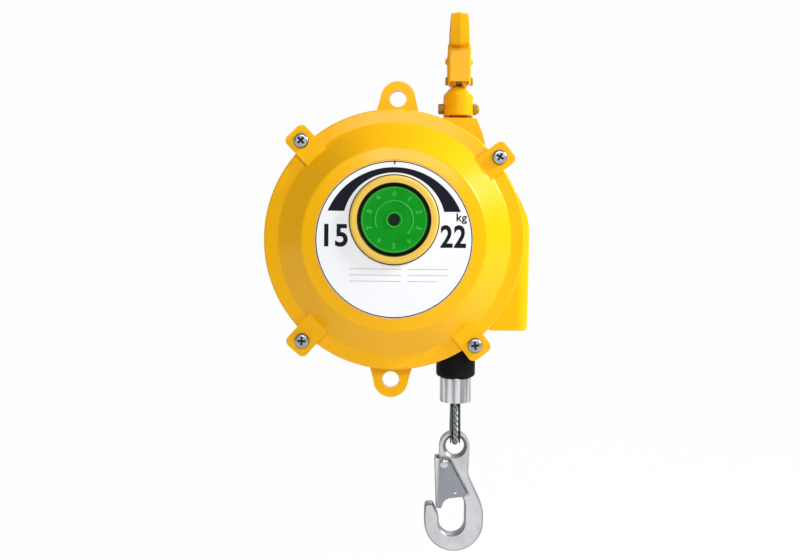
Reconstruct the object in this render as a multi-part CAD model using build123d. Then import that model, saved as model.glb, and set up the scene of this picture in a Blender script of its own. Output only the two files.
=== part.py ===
from build123d import *

import math
import os

# Spring tool balancer, in millimetres. +Z is up, the name plate and dial face -Y, and the rope hangs at +X
# of the drum axis. The origin is the load point of the upper hook: the inside of its bowl, at the crown.

# ------------------------------------------------------------------ driving dimensions
# Rope
ROPE_D = 4.76
ROPE_R = ROPE_D / 2

# Places of the main assembly
DRUM_REST_R = 53.0  # rope centre line to drum axis when the rope is fully wound
AXIS_DROP = 182.6  # drum axis below the load point
RUN_FIT = 0.05  # radial clearance of a shaft in its bush
SLIP = 0.3  # clearance between parts that pass each other

# Front cover
RIM_R = 106.6
FLANGE_T = 5.0
CONE_FOOT_R = 93.8
CONE_TOP_R = 73.4
CONE_H = 27.0
DOME_H = 28.5
COVER_WALL = 3.5
CAVITY_R = 91.0

# Lugs round the rim: (angle, screw circle radius)
LUGS = [(133.9, 109.9), (38.5, 108.3), (228.3, 111.1), (307.9, 108.0)]
LUG_W = 21.0
LUG_OVER = 10.5  # metal beyond the screw centre
LUG_PAD_H = 9.0
HOUSING_LUG_T = 7.0
SCREW_R = 3.0
SCREW_HEAD_R = 5.9
SCREW_HEAD_H = 3.4

# Name plate and dial
PLATE_R = 62.2
PLATE_T = 0.8
RING_R = 34.9
RING_H = 33.2
DIAL_R = 26.1
DIAL_GAP = 2.3
DIAL_T = 2.4
FLOOR_T = 2.8
DIAL_PIN_R = 2.5
DIAL_EYE_R = 4.85
DIAL_MODULE = 1.0
DIAL_TEETH = 42
PINION_TEETH = 11

# Housing
HOUSING_DEPTH = 73.5
HOUSING_WALL = 6.0
REAR_WALL = 7.5
HOUSING_TAPER = 4.0
EAR_CENTRE = 116.5
EAR_TILT = 0.9
EAR_HOLE_R = 7.0
EAR_TIP_R = 14.4
EAR_BASE_W = 37.0
EAR_T = 8.0
EAR_SETBACK = 6.0
REAR_RIBS = 6

# Worm drive of the spring case
WORM_MODULE = 2.5
WHEEL_TEETH = 69
WHEEL_W = 12.0
WORM_PITCH_R = 7.5
WORM_LENGTH = 42.0
WORM_TURNS = 4
WORM_JOURNAL_R = 5.5
BACKLASH = 0.5
WORM_BOX_DROP = 74.2
WORM_BOX_RISE = 40.2
WORM_BOX_WALL = 8.2
WORM_HEX_R = 5.2

# Spring case and mainspring
CASE_R = 71.0
CASE_WALL = 6.0
CASE_FLOOR_T = 4.0
LID_T = 3.0
LID_FACE = 13.5
SPRING_W = 20.0
SPRING_T = 1.6
SPRING_TURNS = 8
ARBOR_R = 19.0

# Drum
SHAFT_R = 8.5
DRUM_FACE = -18.5
GROOVES = 7
GROOVE_PITCH = 5.4
GROOVE_RISE = 1.5
DRUM_FLANGE_T = 3.0
HUB_R = 15.5

# Rolling bearings: bore radius, outer radius, width
FRONT_BEARING = (5.0, 13.0, 8.0)
REAR_BEARING = (8.5, 17.5, 10.0)

# Hanger
BLOCK_R = 12.7
BLOCK_TOP = -54.2
BLOCK_BOTTOM = -78.2
BLOCK_SHOULDER = 6.0
PIN_Z = -71.7
PIN_R = 3.5
PIN_HEAD_R = 4.5
PIN_HEAD_T = 4.3
TONGUE_W = 12.0
SWING = 8.0
SHANK_R = 6.1
STEM_R = 4.5

# Cable end
OUTLET_R = 16.5
OUTLET_Z = -274.0
BUFFER_R = 16.5
BUFFER_BOTTOM = -298.5
FERRULE_R = 13.4
FERRULE_BOTTOM = -319.7
LOOP_SEAT = -351.2
THIMBLE_R = 6.5
THIMBLE_T = 0.8

# Hooks, drawn once at the size of the lower one
HOOK_T = 11.0
HOOK_EYE_R = 7.8
HOOK_EYE_T = 9.0
HOOK_EYE_Z = -357.2
UPPER_HOOK_SCALE = 0.81
UPPER_HOOK_T = 15.3
FORGING_DRAFT = 10.0
CROWN_T = 13.5
RIVET_R = 2.2
LATCH_SHEET = 1.6
LATCH_SLIP = 0.5
GRIP_R = 3.4
GRIP_H = 2.0
LANYARD_R = 1.2

# ------------------------------------------------------------------ worked-out places
# Stack frame: x right, y up and z towards the viewer, with the drum axis as z and the joint between the
# housing and its cover at z = 0.
GROOVE_START = DRUM_FACE - DRUM_FLANGE_T - ROPE_R - 0.6
SPLIT_Y = GROOVE_START  # the first groove lies in the plane of the hooks
STACK = Pos(-DRUM_REST_R, SPLIT_Y, -AXIS_DROP) * Rot(90, 0, 0)

FLOOR_Z = DOME_H - 2.5
FLOOR_BACK = FLOOR_Z - FLOOR_T
DIAL_RISE = DIAL_MODULE * (DIAL_TEETH - PINION_TEETH) / 2
DIAL_FACE = RING_H - 1.0
DIAL_BACK = DIAL_FACE - DIAL_T
GEAR_BACK = FLOOR_Z + 0.5

WHEEL_PITCH_R = WORM_MODULE * WHEEL_TEETH / 2
WORM_X = WHEEL_PITCH_R + WORM_PITCH_R
WORM_PITCH = math.pi * WORM_MODULE
WORM_TIP_R = WORM_PITCH_R + WORM_MODULE
WORM_ROOT_R = WORM_PITCH_R - 1.25 * WORM_MODULE
LEAD_ANGLE = math.degrees(math.atan(WORM_MODULE / (2 * WORM_PITCH_R)))
WHEEL_FRONT = -8.0
WORM_Z = WHEEL_FRONT - WHEEL_W / 2
WHEEL_BACK = WHEEL_FRONT - WHEEL_W
WORM_BORE_R = WORM_TIP_R + 0.6
WORM_BOX_DEPTH = 2 * -WORM_Z
WHEEL_TIP_R = WHEEL_PITCH_R + WORM_MODULE
WORM_NECK_R = WORM_X - WHEEL_TIP_R + 2.0  # what passes the wheel's tips beyond the thread
RETAINER_TOP = math.sqrt(WHEEL_TIP_R**2 - (WORM_X - WORM_BORE_R - 0.5) ** 2) + 0.5
RETAINER_H = 18.0
WORM_BOX_X = WORM_X + WORM_BORE_R + WORM_BOX_WALL

LID_BACK = LID_FACE - LID_T
CASE_BACK = LID_BACK - 1.0 - SPRING_W - 1.0 - CASE_FLOOR_T
CASE_CAVITY_R = CASE_R - CASE_WALL
SPRING_FRONT = LID_BACK - 1.0

DRUM_BACK = GROOVE_START - (GROOVES - 1) * GROOVE_PITCH - ROPE_R - 0.6 - DRUM_FLANGE_T
HUB_BACK = DRUM_BACK + 2.0
REAR_SHOULDER = HUB_BACK - 2.6
REAR_BOSS_BACK = REAR_SHOULDER - REAR_BEARING[2] - 2.0
REAR_INNER = REAR_WALL - HOUSING_DEPTH


# ------------------------------------------------------------------ helpers
def outline(*corners):
    """Closed face through corners (x, y[, radius]), with each stated radius as a tangent arc."""
    points = [Vector(c[0], c[1]) for c in corners]
    radii = [c[2] if len(c) > 2 else 0.0 for c in corners]
    count = len(points)
    starts, ends, edges = [], [], []
    for i, corner in enumerate(points):
        if radii[i] <= 0:
            starts.append(corner)
            ends.append(corner)
            continue
        back = (points[i - 1] - corner).normalized()
        ahead = (points[(i + 1) % count] - corner).normalized()
        half = math.radians(back.get_angle(ahead)) / 2
        reach = radii[i] / math.tan(half)
        middle = (back + ahead).normalized() * (radii[i] / math.sin(half) - radii[i])
        starts.append(corner + back * reach)
        ends.append(corner + ahead * reach)
        edges.append(ThreePointArc(starts[-1], corner + middle, ends[-1]))
    for i in range(count):
        a, b = ends[i], starts[(i + 1) % count]
        if (b - a).length > 1e-6:
            edges.append(Line(a, b))
    return make_face(edges)


def turned(*corners):
    """Solid of revolution about the stack axis from a profile of (radius, z[, corner radius])."""
    return revolve(Plane.XZ * outline(*corners), axis=Axis.Z)


def tube(outer, inner, low, high):
    """Plain ring between two heights."""
    return turned((inner, low), (outer, low), (outer, high), (inner, high))


def rod(radius, low, high):
    """Plain cylinder on the z axis between two heights."""
    return Pos(0, 0, (low + high) / 2) * Cylinder(radius, abs(high - low))


def slab(face, low, high):
    """A flat face in the XY plane, made solid between two heights."""
    return Pos(0, 0, low) * extrude(face, high - low)


def around(radius, angle):
    """Place on a circle about the stack axis, with its x axis pointing outwards."""
    return Rot(0, 0, angle) * Pos(radius, 0, 0)


def gear_face(teeth, module, addendum, dedendum, play):
    """Involute outline with the given tooth heights and half play, flanks in four steps."""
    pitch = module * teeth / 2
    base = pitch * math.cos(math.radians(20))
    low, high = pitch - dedendum, pitch + addendum
    half = math.pi / (2 * teeth) - play / pitch
    involute = math.tan(math.radians(20)) - math.radians(20)

    def offset(radius):
        if radius <= base:
            return half + involute
        pressure = math.acos(base / radius)
        return half + involute - (math.tan(pressure) - pressure)

    steps = [low, max(base, low + 0.2 * module), pitch, high]
    flank = [(r, offset(r)) for r in steps]
    points = []
    for tooth in range(teeth):
        centre = 2 * math.pi * tooth / teeth
        for r, a in flank:
            points.append((r * math.cos(centre - a), r * math.sin(centre - a)))
        for r, a in reversed(flank):
            points.append((r * math.cos(centre + a), r * math.sin(centre + a)))
    return make_face(Polyline(*points, close=True))


# ------------------------------------------------------------------ front cover
def cover_lug(angle, radius, low, high, inner):
    """Square-ended lug with rounded corners that runs in to the cone as a rib."""
    outer = radius + LUG_OVER
    face = outline((inner, -LUG_W / 2), (outer, -LUG_W / 2, 5), (outer, LUG_W / 2, 5), (inner, LUG_W / 2))
    return Rot(0, 0, angle) * slab(face, low, high)


def front_cover():
    outer = turned(
        (0, 0),
        (RIM_R, 0),
        (RIM_R, FLANGE_T, 2),
        (CONE_FOOT_R + 1, FLANGE_T + 0.8, 3),
        (CONE_TOP_R, CONE_H, 4),
        (PLATE_R + 0.8, DOME_H, 0.8),
        (PLATE_R + 0.3, DOME_H - 0.5),
        (0, DOME_H - 0.5),
    )
    for angle, radius in LUGS:
        outer += cover_lug(angle, radius, 0, LUG_PAD_H, CONE_FOOT_R - 4)
    slope = math.atan2(CONE_H - FLANGE_T, CONE_FOOT_R - CONE_TOP_R)
    inset = COVER_WALL / math.sin(slope)
    inner_top = DOME_H - COVER_WALL
    cavity = turned(
        (0, -1),
        (CAVITY_R, -1),
        (CAVITY_R, 1.0),
        (CONE_TOP_R - inset, inner_top - 1.5, 4),
        (CONE_TOP_R - inset - 4, inner_top),
        (0, inner_top),
    )
    cover = outer - cavity
    ring = turned((0, FLOOR_BACK), (RING_R, FLOOR_BACK), (RING_R, RING_H, 2),
                  (DIAL_R + DIAL_GAP, RING_H, 1),
                  (DIAL_R + DIAL_GAP, FLOOR_Z), (0, FLOOR_Z))
    seat_r = FRONT_BEARING[1]
    seat = tube(seat_r + 4.5, seat_r, FLOOR_BACK - FRONT_BEARING[2] + 0.5, inner_top + 0.5)
    dial_place = Pos(0, DIAL_RISE, 0)
    cover -= dial_place * rod(DIAL_R + DIAL_GAP, FLOOR_Z, RING_H)
    cover += dial_place * ring
    cover += seat
    cover -= rod(seat_r, FLOOR_BACK - FRONT_BEARING[2], FLOOR_BACK)
    pinion_tip = DIAL_MODULE * (PINION_TEETH / 2 + 1)
    cover -= rod(pinion_tip + 0.9, FLOOR_BACK - 1, FLOOR_Z + 1)
    cover -= dial_place * rod(DIAL_PIN_R - 0.5, FLOOR_BACK - 1, FLOOR_Z + 1)
    for angle, radius in LUGS:
        cover -= around(radius, angle) * rod(SCREW_R + 0.3, -1, LUG_PAD_H + 1)
    return cover


def cover_screw():
    """Pan-head screw with its head's underside at z = 0."""
    head = turned((0, 0), (SCREW_HEAD_R, 0), (SCREW_HEAD_R, SCREW_HEAD_H, 2.2), (0, SCREW_HEAD_H))
    cross = Pos(0, 0, SCREW_HEAD_H) * (Box(6.8, 1.7, 4.4) + Box(1.7, 6.8, 4.4))
    shank = rod(SCREW_R - 0.3, -LUG_PAD_H - HOUSING_LUG_T + 4, 0)
    return head - cross + shank


def cover_screws():
    return [around(r, a) * Pos(0, 0, LUG_PAD_H) * Rot(0, 0, 20 * i) * cover_screw()
            for i, (a, r) in enumerate(LUGS)]


def name_plate():
    plate = rod(PLATE_R, DOME_H - 0.5, DOME_H - 0.5 + PLATE_T)
    return plate - Pos(0, DIAL_RISE, 0) * rod(RING_R + 0.2, 0, RING_H)


# ------------------------------------------------------------------ dial
def tension_dial():
    """Numbered disc with an internal gear on its back."""
    rim_r = DIAL_MODULE * DIAL_TEETH / 2 + 3.6
    disc = rod(DIAL_R, DIAL_BACK, DIAL_FACE)
    disc += tube(DIAL_EYE_R + 1.7, DIAL_EYE_R, DIAL_FACE - 0.5, DIAL_FACE + 0.6)
    disc += rod(rim_r, GEAR_BACK, DIAL_BACK)
    space = gear_face(DIAL_TEETH, DIAL_MODULE, 1.25 * DIAL_MODULE, DIAL_MODULE, -0.12)
    disc -= Rot(0, 0, -90 - 180 / DIAL_TEETH) * slab(space, GEAR_BACK - 1, DIAL_BACK)
    disc += rod(DIAL_PIN_R + 2.4, GEAR_BACK, DIAL_BACK + 0.2)
    disc -= rod(DIAL_PIN_R + RUN_FIT, GEAR_BACK - 1, DIAL_FACE + 2)
    disc -= rod(DIAL_EYE_R, DIAL_FACE - 1.4, DIAL_FACE + 2)
    return Pos(0, DIAL_RISE, 0) * disc


def dial_screw():
    """Shoulder screw that the dial turns on."""
    head = rod(DIAL_EYE_R - 0.5, DIAL_FACE - 1.4 + SLIP / 2, DIAL_FACE - 0.2)
    head -= Pos(0, 0, DIAL_FACE) * extrude(RegularPolygon(2.3, 6), -1.2)
    shoulder = rod(DIAL_PIN_R, FLOOR_Z, DIAL_FACE - 1.2)
    thread = rod(DIAL_PIN_R - 0.5, FLOOR_BACK + 0.1, FLOOR_Z)
    return Pos(0, DIAL_RISE, 0) * (head + shoulder + thread)


def dial_pinion():
    """Pinion on the lid's stub, with a gap at its lowest point, where it meets the dial's gear."""
    face = gear_face(PINION_TEETH, DIAL_MODULE, DIAL_MODULE, 1.25 * DIAL_MODULE, 0.12)
    gear = slab(face, FLOOR_BACK + 0.6, DIAL_BACK - 0.4)
    return Rot(0, 0, 180 / PINION_TEETH - 90) * gear - rod(2.5, 0, RING_H)


# ------------------------------------------------------------------ spring case
def spring_case():
    shell = turned(
        (SHAFT_R + 3.5, CASE_BACK),
        (CASE_R - CASE_WALL, CASE_BACK, 1.5),
        (CASE_R - CASE_WALL, WHEEL_BACK),
        (CASE_R, WHEEL_BACK, 1),
        (CASE_R, LID_BACK),
        (CASE_CAVITY_R, LID_BACK),
        (CASE_CAVITY_R, CASE_BACK + CASE_FLOOR_T, 2),
        (SHAFT_R + 3.5, CASE_BACK + CASE_FLOOR_T),
    )
    for i in range(6):
        shell -= around(CASE_R - CASE_WALL / 2, 60 * i + 30) * rod(1.5, LID_BACK - 9, LID_BACK + 1)
    return shell


def spring_case_lid():
    lid = turned(
        (0, LID_FACE + 1),
        (FRONT_BEARING[0] + 2, LID_FACE + 1),
        (FRONT_BEARING[0] + 2, LID_FACE),
        (CASE_R, LID_FACE, 1),
        (CASE_R, LID_BACK),
        (11, LID_BACK),
        (11, LID_BACK - 6.5),
        (SHAFT_R - 2.5 + RUN_FIT, LID_BACK - 6.5),
        (SHAFT_R - 2.5 + RUN_FIT, LID_BACK + 0.5),
        (0, LID_BACK + 0.5),
    )
    lid += rod(FRONT_BEARING[0] - RUN_FIT, LID_FACE, FLOOR_BACK + 0.4)
    lid += rod(2.45, LID_FACE, DIAL_BACK - 0.6)
    for i in range(6):
        lid -= around(CASE_R - CASE_WALL / 2, 60 * i + 30) * rod(1.7, LID_BACK - 1, LID_FACE + 1)
    return lid


def case_lid_screws():
    screw = rod(2.8, LID_FACE, LID_FACE + 1.8) + rod(1.45, LID_BACK - 7, LID_FACE)
    return [around(CASE_R - CASE_WALL / 2, 60 * i + 30) * screw for i in range(6)]


def case_bush():
    bush = tube(SHAFT_R + 3.45, SHAFT_R + RUN_FIT, CASE_BACK, CASE_BACK + CASE_FLOOR_T + 0.8)
    return bush + tube(SHAFT_R + 6, SHAFT_R + RUN_FIT, CASE_BACK - 1.5, CASE_BACK)


def worm_wheel():
    """Helical rim, pressed on the spring case, with its teeth laid over at the worm's lead angle."""
    face = gear_face(WHEEL_TEETH, WORM_MODULE, WORM_MODULE, 1.25 * WORM_MODULE, BACKLASH / 2)
    twist = math.degrees(WHEEL_W / 2 * math.tan(math.radians(LEAD_ANGLE)) / WHEEL_PITCH_R)
    back = Pos(0, 0, WORM_Z - WHEEL_W / 2) * Rot(0, 0, -twist) * face
    front = Pos(0, 0, WORM_Z + WHEEL_W / 2) * Rot(0, 0, twist) * face
    return loft([back, front], ruled=True) - rod(CASE_R, WHEEL_BACK - 1, LID_FACE)


def mainspring():
    """Flat spiral of half-turn arcs, wound between the arbor and the case."""
    inner = ARBOR_R + SLIP + SPRING_T / 2
    outer = CASE_CAVITY_R - SLIP - SPRING_T / 2
    pitch = (outer - inner) / SPRING_TURNS
    edges, tips = [], []
    for side in (-1, 1):
        for half in range(2 * SPRING_TURNS + 1):
            radius = inner + half * pitch / 2 + side * SPRING_T / 2
            sign = 1 if half % 2 == 0 else -1
            centre = 0 if half % 2 == 0 else pitch / 2
            start, end = (centre + sign * radius, 0), (centre - sign * radius, 0)
            edges.append(ThreePointArc(start, (centre, sign * radius), end))
            if half == 0:
                tips.append(start)
        tips.append(end)
    edges += [Line(tips[0], tips[2]), Line(tips[1], tips[3])]
    return slab(make_face(edges), SPRING_FRONT - SPRING_W, SPRING_FRONT)


# ------------------------------------------------------------------ worm
def upright(shape):
    """Carries a part built on the z axis to the worm's axis, with its +z end pointing down."""
    return Pos(WORM_X, 0, WORM_Z) * Rot(90, 0, 0) * shape


def worm():
    """Single-start worm on its shaft, with a hexagon end for the key."""
    half = WORM_LENGTH / 2
    lead = math.cos(math.radians(LEAD_ANGLE))
    flank = math.tan(math.radians(20))
    mid = (WORM_PITCH / 4 - BACKLASH / 2) * lead
    out = WORM_TIP_R - WORM_PITCH_R
    inward = WORM_PITCH_R - WORM_ROOT_R + 0.4
    thread_height = WORM_PITCH * WORM_TURNS
    path = Helix(WORM_PITCH, thread_height, WORM_PITCH_R)
    section_plane = Plane(origin=path @ 0, x_dir=(1, 0, 0), z_dir=path % 0)
    section = section_plane * make_face(Polyline(
        (-inward, -mid - inward * flank), (out, -mid + out * flank),
        (out, mid - out * flank), (-inward, mid + inward * flank), close=True))
    # half a turn on for an odd count of turns, so that a gap faces the wheel's tooth
    turn = Rot(0, 0, 180 * (WORM_TURNS % 2))
    thread = turn * Pos(0, 0, -thread_height / 2) * sweep(section, path=path, is_frenet=True)
    body = rod(WORM_ROOT_R, -half, half) + thread
    body += rod(WORM_JOURNAL_R + 1, half, RETAINER_TOP)
    body += rod(WORM_BORE_R - 2, RETAINER_TOP - 2.8, RETAINER_TOP - SLIP)
    body += rod(WORM_JOURNAL_R, half, RETAINER_TOP + RETAINER_H + 3)
    body += rod(WORM_JOURNAL_R - 1.5, -half - 8, -half)
    body += slab(RegularPolygon(WORM_HEX_R, 6), RETAINER_TOP + RETAINER_H + 3, WORM_BOX_DROP - 3)
    return upright(body)


def worm_upper_bush():
    half = WORM_LENGTH / 2
    return upright(tube(WORM_NECK_R - 0.1, WORM_JOURNAL_R - 1.5 + RUN_FIT, -half - 9, -half - SLIP))


def worm_retainer():
    """Threaded plug that holds the worm in and carries its lower journal."""
    bottom = RETAINER_TOP + RETAINER_H
    ring = tube(WORM_BORE_R - 0.1, WORM_JOURNAL_R + RUN_FIT, RETAINER_TOP, bottom)
    for i in range(4):
        ring -= Rot(0, 0, 90 * i) * Pos(8.6, 0, bottom) * Box(3, 2.4, 5)
    return upright(ring)


# ------------------------------------------------------------------ drum and shaft
def groove_radius(i):
    return DRUM_REST_R + GROOVE_RISE * i


def groove_z(i):
    return GROOVE_START - GROOVE_PITCH * i


def drum():
    """Cast rope drum: hub, web and a tapered rim with one groove for each turn."""
    surface = [(groove_radius(0) + 5, DRUM_FACE, 1), (groove_radius(0) + 5, DRUM_FACE - DRUM_FLANGE_T)]
    for i in range(GROOVES):
        play = SLIP if i == 0 else 0.07
        r, z = groove_radius(i), groove_z(i)
        land = r - 0.8
        bottom = r - ROPE_R - play
        surface += [(land, z + 2.45 + play / 2), (bottom, z + 1.25 + play / 2)]
        surface += [(bottom, z - 1.25 - play / 2), (land, z - 2.45 - play / 2)]
    last = groove_radius(GROOVES - 1) + 6
    surface += [(last, DRUM_BACK + DRUM_FLANGE_T), (last, DRUM_BACK, 1)]
    rear_r = groove_radius(GROOVES - 1) - ROPE_R - 6
    front_r = groove_radius(0) - ROPE_R - 6
    middle = (DRUM_FACE + DRUM_BACK) / 2
    inside = [
        (rear_r, DRUM_BACK), (rear_r - 2, middle - 4, 4), (HUB_R, middle - 4, 4), (HUB_R, HUB_BACK),
        (SHAFT_R, HUB_BACK), (SHAFT_R, DRUM_FACE + 0.6), (HUB_R, DRUM_FACE + 0.6),
        (HUB_R, middle + 4, 4), (front_r - 2, middle + 4, 4), (front_r, DRUM_FACE),
    ]
    body = turned(*surface, *inside)
    hole_r = (front_r - HUB_R) / 2 - 5
    for i in range(6):
        body -= around((front_r + HUB_R) / 2, 60 * i) * rod(hole_r, DRUM_BACK, DRUM_FACE)
    return body


def rope_on_drum():
    """The turns that lie on the drum when the rope is wound in, one ring for each groove."""
    rings = []
    for i in range(1, GROOVES):
        section = Plane.XZ * Pos(groove_radius(i), groove_z(i)) * RegularPolygon(ROPE_R, 8, rotation=22.5)
        rings.append(revolve(section, axis=Axis.Z))
    return rings


def drum_shaft():
    front = SHAFT_R - 2.5
    end = REAR_SHOULDER - REAR_BEARING[2] - 1.8
    return turned(
        (0, LID_BACK - 0.4), (front, LID_BACK - 0.4, 0.5), (front, LID_BACK - 7.2),
        (SHAFT_R, LID_BACK - 7.2),
        (SHAFT_R, end + 1.5), (SHAFT_R - 1, end + 1.5), (SHAFT_R - 1, end + 0.4), (SHAFT_R, end + 0.4),
        (SHAFT_R, end, 0.5), (0, end),
    )


def spring_arbor():
    """Sleeve keyed to the shaft, with the slot that the inner end of the mainspring hooks in."""
    low = SPRING_FRONT - SPRING_W + 0.5
    high = LID_BACK - 7.5
    sleeve = tube(ARBOR_R, SHAFT_R, low, high)
    return sleeve - Pos(ARBOR_R - 1.5, 0, (low + high) / 2) * Box(4, 2.4, high - low + 1)


def shaft_circlip():
    end = REAR_SHOULDER - REAR_BEARING[2] - 1.8
    ring = tube(SHAFT_R + 2.2, SHAFT_R - 0.95, end + 0.45, end + 1.45)
    return ring - Pos(SHAFT_R + 1, 0, end + 1) * Box(6, 5, 3)


def bearing(size, front):
    """Sealed deep-groove bearing: outer race, inner race and the seal between them."""
    bore, outer, width = size
    step = (outer - bore) / 3
    back = front - width
    outer_race = tube(outer, outer - step + 0.3, back, front)
    inner_race = tube(bore + step - 0.3, bore, back, front)
    seal = tube(outer - step + 0.25, bore + step - 0.25, back + 0.5, front - 0.5)
    return [outer_race, inner_race, seal]


def rear_bearing_cap():
    edge = REAR_BEARING[1] + 7
    cap = turned((0, REAR_BOSS_BACK), (edge, REAR_BOSS_BACK), (edge, REAR_BOSS_BACK - 2.5, 1),
                 (REAR_BEARING[1] - 0.5, REAR_BOSS_BACK - 2.5),
                 (REAR_BEARING[1] - 2, REAR_BOSS_BACK - 4, 1),
                 (0, REAR_BOSS_BACK - 4))
    for i in range(3):
        cap -= around(REAR_BEARING[1] + 3.6, 120 * i + 90) * rod(2.2, REAR_BOSS_BACK - 6, REAR_BOSS_BACK + 1)
    return cap


def cap_screws():
    low = REAR_BOSS_BACK - 2.5
    screw = rod(3.4, low - 2.2, low) + rod(1.9, low, REAR_BOSS_BACK + 8)
    return [around(REAR_BEARING[1] + 3.6, 120 * i + 90) * screw for i in range(3)]


# ------------------------------------------------------------------ housing
def ear(direction):
    """Eye plate above or below the casing, for a safety chain."""
    base = RIM_R - 18
    face = outline((-EAR_BASE_W / 2 - 3, base), (EAR_BASE_W / 2 + 3, base), (EAR_BASE_W / 2 - 1, RIM_R - 1),
                   (EAR_TIP_R, EAR_CENTRE + 1), (-EAR_TIP_R, EAR_CENTRE + 1), (-EAR_BASE_W / 2 + 1, RIM_R - 1))
    face += Pos(0, EAR_CENTRE) * Circle(EAR_TIP_R)
    plate = slab(face, -EAR_SETBACK - EAR_T, -EAR_SETBACK)
    turn = -EAR_TILT + (180 if direction < 0 else 0)
    return Rot(0, 0, turn) * plate


def ear_hole(direction):
    turn = -EAR_TILT + (180 if direction < 0 else 0)
    hole = rod(EAR_HOLE_R, -EAR_SETBACK - EAR_T - 1, -EAR_SETBACK + 1)
    return Rot(0, 0, turn) * Pos(0, EAR_CENTRE, 0) * hole


def worm_box():
    """Upright box for the worm: rounded in plan, sloped off at its shoulder, drafted on its side."""
    inner = CAVITY_R - 12
    top = WORM_BOX_RISE + 12
    side = outline((inner, -WORM_BOX_DROP), (WORM_BOX_X - 2.3, -WORM_BOX_DROP, 2), (WORM_BOX_X, 8, 30),
                   (WORM_BOX_X - 3, 20, 12), (WORM_BOX_X - 13, WORM_BOX_RISE, 10), (WORM_BOX_X - 30, top),
                   (inner - 20, top), (inner - 20, 0))
    plan = outline((inner - 20, 0), (WORM_BOX_X, 0, 11), (WORM_BOX_X, -WORM_BOX_DEPTH, 11),
                   (inner - 20, -WORM_BOX_DEPTH))
    upright_plan = Rot(90, 0, 0) * slab(plan, -top - 1, WORM_BOX_DROP + 1)
    return slab(side, -WORM_BOX_DEPTH, 0) & upright_plan


def hanger_lug():
    """Boss with a roof-shaped top and the tongue that the hanger pin goes through."""
    roof = PIN_Z - BLOCK_BOTTOM + SLIP
    slope = math.radians(SWING + 1.5)
    half = BLOCK_R + 0.8
    depth = (roof + half * math.sin(slope)) / math.cos(slope)
    bottom = PIN_Z + AXIS_DROP - math.sqrt((RIM_R - 12) ** 2 - (DRUM_REST_R + 24) ** 2)
    side = outline((-half, -roof), (half, -roof), (half + 6.5, -roof - 16), (half + 14, -bottom),
                   (-half - 14, -bottom), (-half - 8, -roof - 16))
    block = Rot(90, 0, 0) * slab(side, -half, half)
    front = outline((-half, -bottom), (half, -bottom), (half, -depth), (0, -roof), (-half, -depth))
    block &= Rot(90, 0, 0) * Rot(0, 90, 0) * slab(front, -60, 60)
    tongue_r = PIN_R + 1.9
    tongue = outline((-tongue_r, -depth - 2), (tongue_r, -depth - 2), (tongue_r, 0), (-tongue_r, 0))
    tongue += Circle(tongue_r)
    block += Rot(90, 0, 0) * Rot(0, 90, 0) * slab(tongue, -TONGUE_W / 2, TONGUE_W / 2)
    block -= Rot(0, 90, 0) * rod(PIN_R + RUN_FIT, -30, 30)
    return Pos(0, 0, PIN_Z) * block


def housing():
    back = -HOUSING_DEPTH
    outer_r = CAVITY_R + HOUSING_WALL
    shell = turned(
        (0, 0), (RIM_R, 0), (RIM_R, -6, 1.5), (outer_r + 1, -8.5, 2), (outer_r - HOUSING_TAPER, back, 9),
        (0, back),
    )
    for angle, radius in LUGS:
        shell += cover_lug(angle, radius, -HOUSING_LUG_T, 0, CAVITY_R)
    shell += ear(1) + ear(-1)
    shell += worm_box()
    shell += rod(REAR_BEARING[1] + 7, REAR_BOSS_BACK, back)
    rib_start = REAR_BEARING[1] + 8
    rib = outline((rib_start, -2.5), (outer_r - HOUSING_TAPER - 12, -2), (outer_r - HOUSING_TAPER - 12, 2),
                  (rib_start, 2.5))
    for i in range(REAR_RIBS):
        shell += Rot(0, 0, 360 / REAR_RIBS * i + 90) * slab(rib, REAR_BOSS_BACK, back + 0.5)
    to_stack = STACK.inverse()
    shell += to_stack * hanger_lug()
    shell += to_stack * rod(OUTLET_R, OUTLET_Z, OUTLET_Z + 24)
    cavity = turned(
        (0, 1), (CAVITY_R, 1), (CAVITY_R, -30, 3), (CAVITY_R - 3, -34),
        (CAVITY_R - HOUSING_TAPER, REAR_INNER, 8), (0, REAR_INNER),
    )
    shell -= cavity
    shell += tube(REAR_BEARING[1] + 6, REAR_BEARING[1] - 4, REAR_INNER - 1, REAR_SHOULDER + 2)
    shell -= rod(REAR_BEARING[1], REAR_BOSS_BACK - 6, REAR_SHOULDER)
    shell -= rod(REAR_BEARING[1] - 4, REAR_SHOULDER - 1, REAR_SHOULDER + 3)
    shell -= upright(rod(WORM_BORE_R, -WORM_LENGTH / 2 - SLIP, WORM_BOX_DROP + 1))
    shell -= upright(rod(WORM_NECK_R, -WORM_LENGTH / 2 - 9, 0))
    shell -= ear_hole(1)
    shell -= ear_hole(-1)
    shell -= to_stack * rod(OUTLET_R - 6, OUTLET_Z - 1, OUTLET_Z + 30)
    for angle, radius in LUGS:
        shell -= around(radius, angle) * rod(SCREW_R - 0.25, -HOUSING_LUG_T + 2, 1)
    for i in range(3):
        shell -= around(REAR_BEARING[1] + 3.6, 120 * i + 90) * rod(1.95, REAR_BOSS_BACK - 1, REAR_BOSS_BACK + 9)
    return shell


def cable_guide():
    """Plastic bush that leads the rope out of the casing."""
    top = OUTLET_Z + 14
    bore = OUTLET_R - 6
    return turned((ROPE_R + 3, top), (ROPE_R + 0.6, top - 5, 2), (ROPE_R + 0.6, OUTLET_Z + 3, 1),
                  (ROPE_R + 2, OUTLET_Z), (bore - 0.05, OUTLET_Z), (bore - 0.05, top))


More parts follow.
